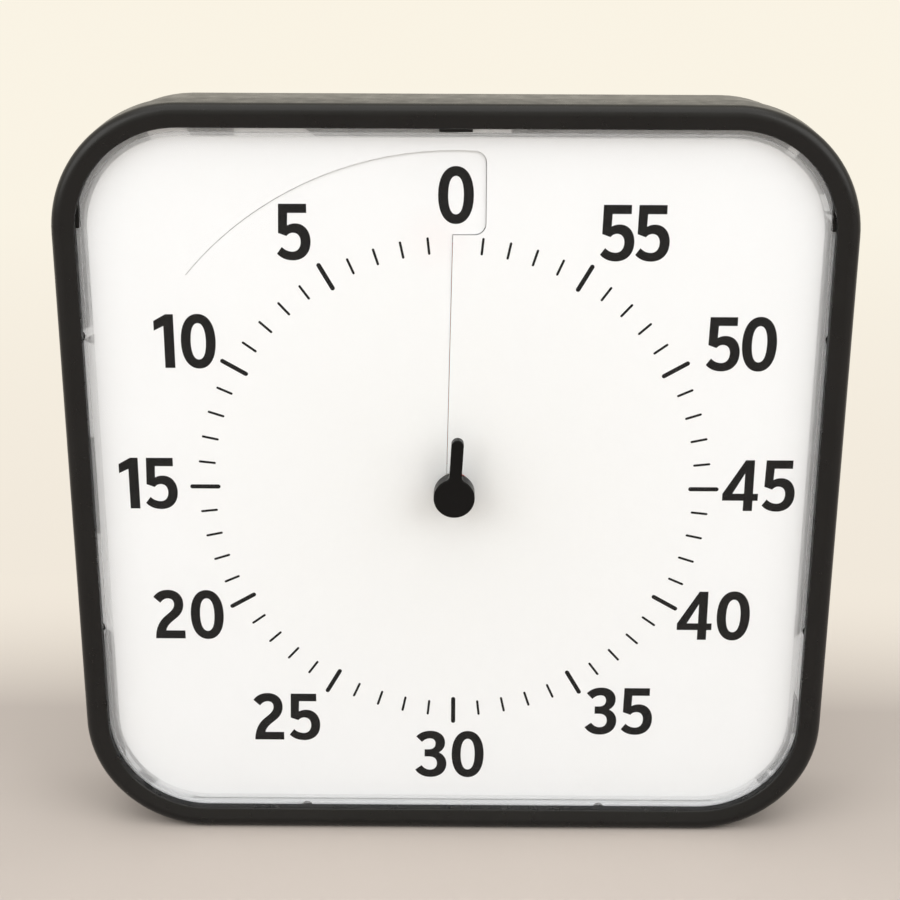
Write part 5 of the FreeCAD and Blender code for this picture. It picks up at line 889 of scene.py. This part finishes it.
def floor_material(finish):
    """Pale floor, darker round the timer, where it keeps the timer's shadow."""
    material, tree, shader = new_material("floor_pale")
    backwards = surface_value(tree, "Object", "Y")
    away = ranged(tree, backwards, low=0.0, high=1.0, start=0.10, end=0.26)
    tree.links.new(mixed(tree, away, tuple(finish.near_floor), tuple(finish.far_floor)),
                   shader.inputs["Base Color"])
    shader.inputs["Roughness"].default_value = 0.7
    pale = tree.nodes.new("ShaderNodeEmission")
    higher = ranged(tree, backwards, low=0.0, high=1.0, start=0.15, end=1.2)
    tree.links.new(mixed(tree, higher, tuple(finish.far_floor), tuple(finish.backdrop)),
                   pale.inputs["Color"])
    blend = tree.nodes.new("ShaderNodeMixShader")
    tree.links.new(maths(tree, "MULTIPLY", away, seen_directly(tree)), blend.inputs["Fac"])
    tree.links.new(shader.outputs["BSDF"], blend.inputs[1])
    tree.links.new(pale.outputs["Emission"], blend.inputs[2])
    output = [node for node in tree.nodes if node.type == "OUTPUT_MATERIAL"][0]
    tree.links.new(blend.outputs["Shader"], output.inputs["Surface"])
    return material


def surroundings(finish, strength):
    """A world that looks pale, and lights the timer with less than it shows."""
    world = bpy.data.worlds.new("surroundings")
    world.use_nodes = True
    tree = world.node_tree
    background = [node for node in tree.nodes if node.type == "BACKGROUND"][0]
    seen = seen_directly(tree)
    tree.links.new(mixed(tree, seen, tuple(finish.daylight), tuple(finish.backdrop)),
                   background.inputs["Color"])
    more = maths(tree, "MULTIPLY", seen, 1.0 - strength)
    tree.links.new(maths(tree, "ADD", more, strength), background.inputs["Strength"])
    return world


class TIMER_OT_stage(bpy.types.Operator):
    """Set up the floor, the light and the camera"""

    bl_idname = "timer.stage"
    bl_label = "Stage"

    def execute(self, context):
        scene = context.scene
        stage = scene.timer_stage
        mesh = bmesh.new()
        bmesh.ops.create_grid(mesh, x_segments=8, y_segments=8, size=FLOOR_HALF)
        floor = bpy.data.objects.new("floor", finished_mesh(mesh, "floor"))
        floor.data.materials.append(floor_material(scene.timer_finish))
        scene.collection.objects.link(floor)
        middle = (0, 0, AXIS_UP)
        for name, place, wide, share in LAMPS:
            area_lamp(name, place, middle, wide, stage.lamp_power * share)
        scene.world = surroundings(scene.timer_finish, stage.world_light)
        scene.view_settings.view_transform = "Standard"
        camera = bpy.data.cameras.new("photo_camera")
        camera.lens = stage.focal
        camera.sensor_width = 36.0
        camera.clip_start = 0.01
        camera.clip_end = 40.0
        holder = bpy.data.objects.new("photo_camera", camera)
        holder.location = stage.camera
        look = (Vector(stage.aim) - Vector(stage.camera)).to_track_quat("-Z", "Y")
        holder.rotation_euler = (look @ Quaternion((0, 0, 1), stage.roll)).to_euler()
        scene.collection.objects.link(holder)
        scene.camera = holder
        return {"FINISHED"}


class TIMER_PT_panel(bpy.types.Panel):
    """The timer's steps and settings"""

    bl_label = "Countdown timer"
    bl_idname = "TIMER_PT_panel"
    bl_space_type = "VIEW_3D"
    bl_region_type = "UI"
    bl_category = "Timer"

    def draw(self, context):
        for operator in OPERATORS:
            self.layout.operator(operator.bl_idname)
        for settings in (context.scene.timer_case, context.scene.timer_dial,
                         context.scene.timer_finish, context.scene.timer_stage):
            for name in settings.__annotations__:
                self.layout.prop(settings, name)


SETTINGS = {"timer_case": TimerCase, "timer_dial": TimerDial, "timer_finish": TimerFinish,
            "timer_stage": TimerStage}
OPERATORS = [TIMER_OT_bezel, TIMER_OT_lens, TIMER_OT_dial, TIMER_OT_disc, TIMER_OT_knob,
             TIMER_OT_back, TIMER_OT_inside, TIMER_OT_stage]
CLASSES = list(SETTINGS.values()) + OPERATORS + [TIMER_PT_panel]


def register():
    """Register the classes and the scene's settings."""
    for item in CLASSES:
        bpy.utils.register_class(item)
    for name, group in SETTINGS.items():
        setattr(bpy.types.Scene, name, PointerProperty(type=group))


def unregister():
    """Undo register."""
    for name in SETTINGS:
        delattr(bpy.types.Scene, name)
    for item in reversed(CLASSES):
        bpy.utils.unregister_class(item)


def main():
    """Build every piece."""
    register()
    for operator in OPERATORS:
        group, name = operator.bl_idname.split(".")
        getattr(getattr(bpy.ops, group), name)()


if __name__ == "__main__":
    main()
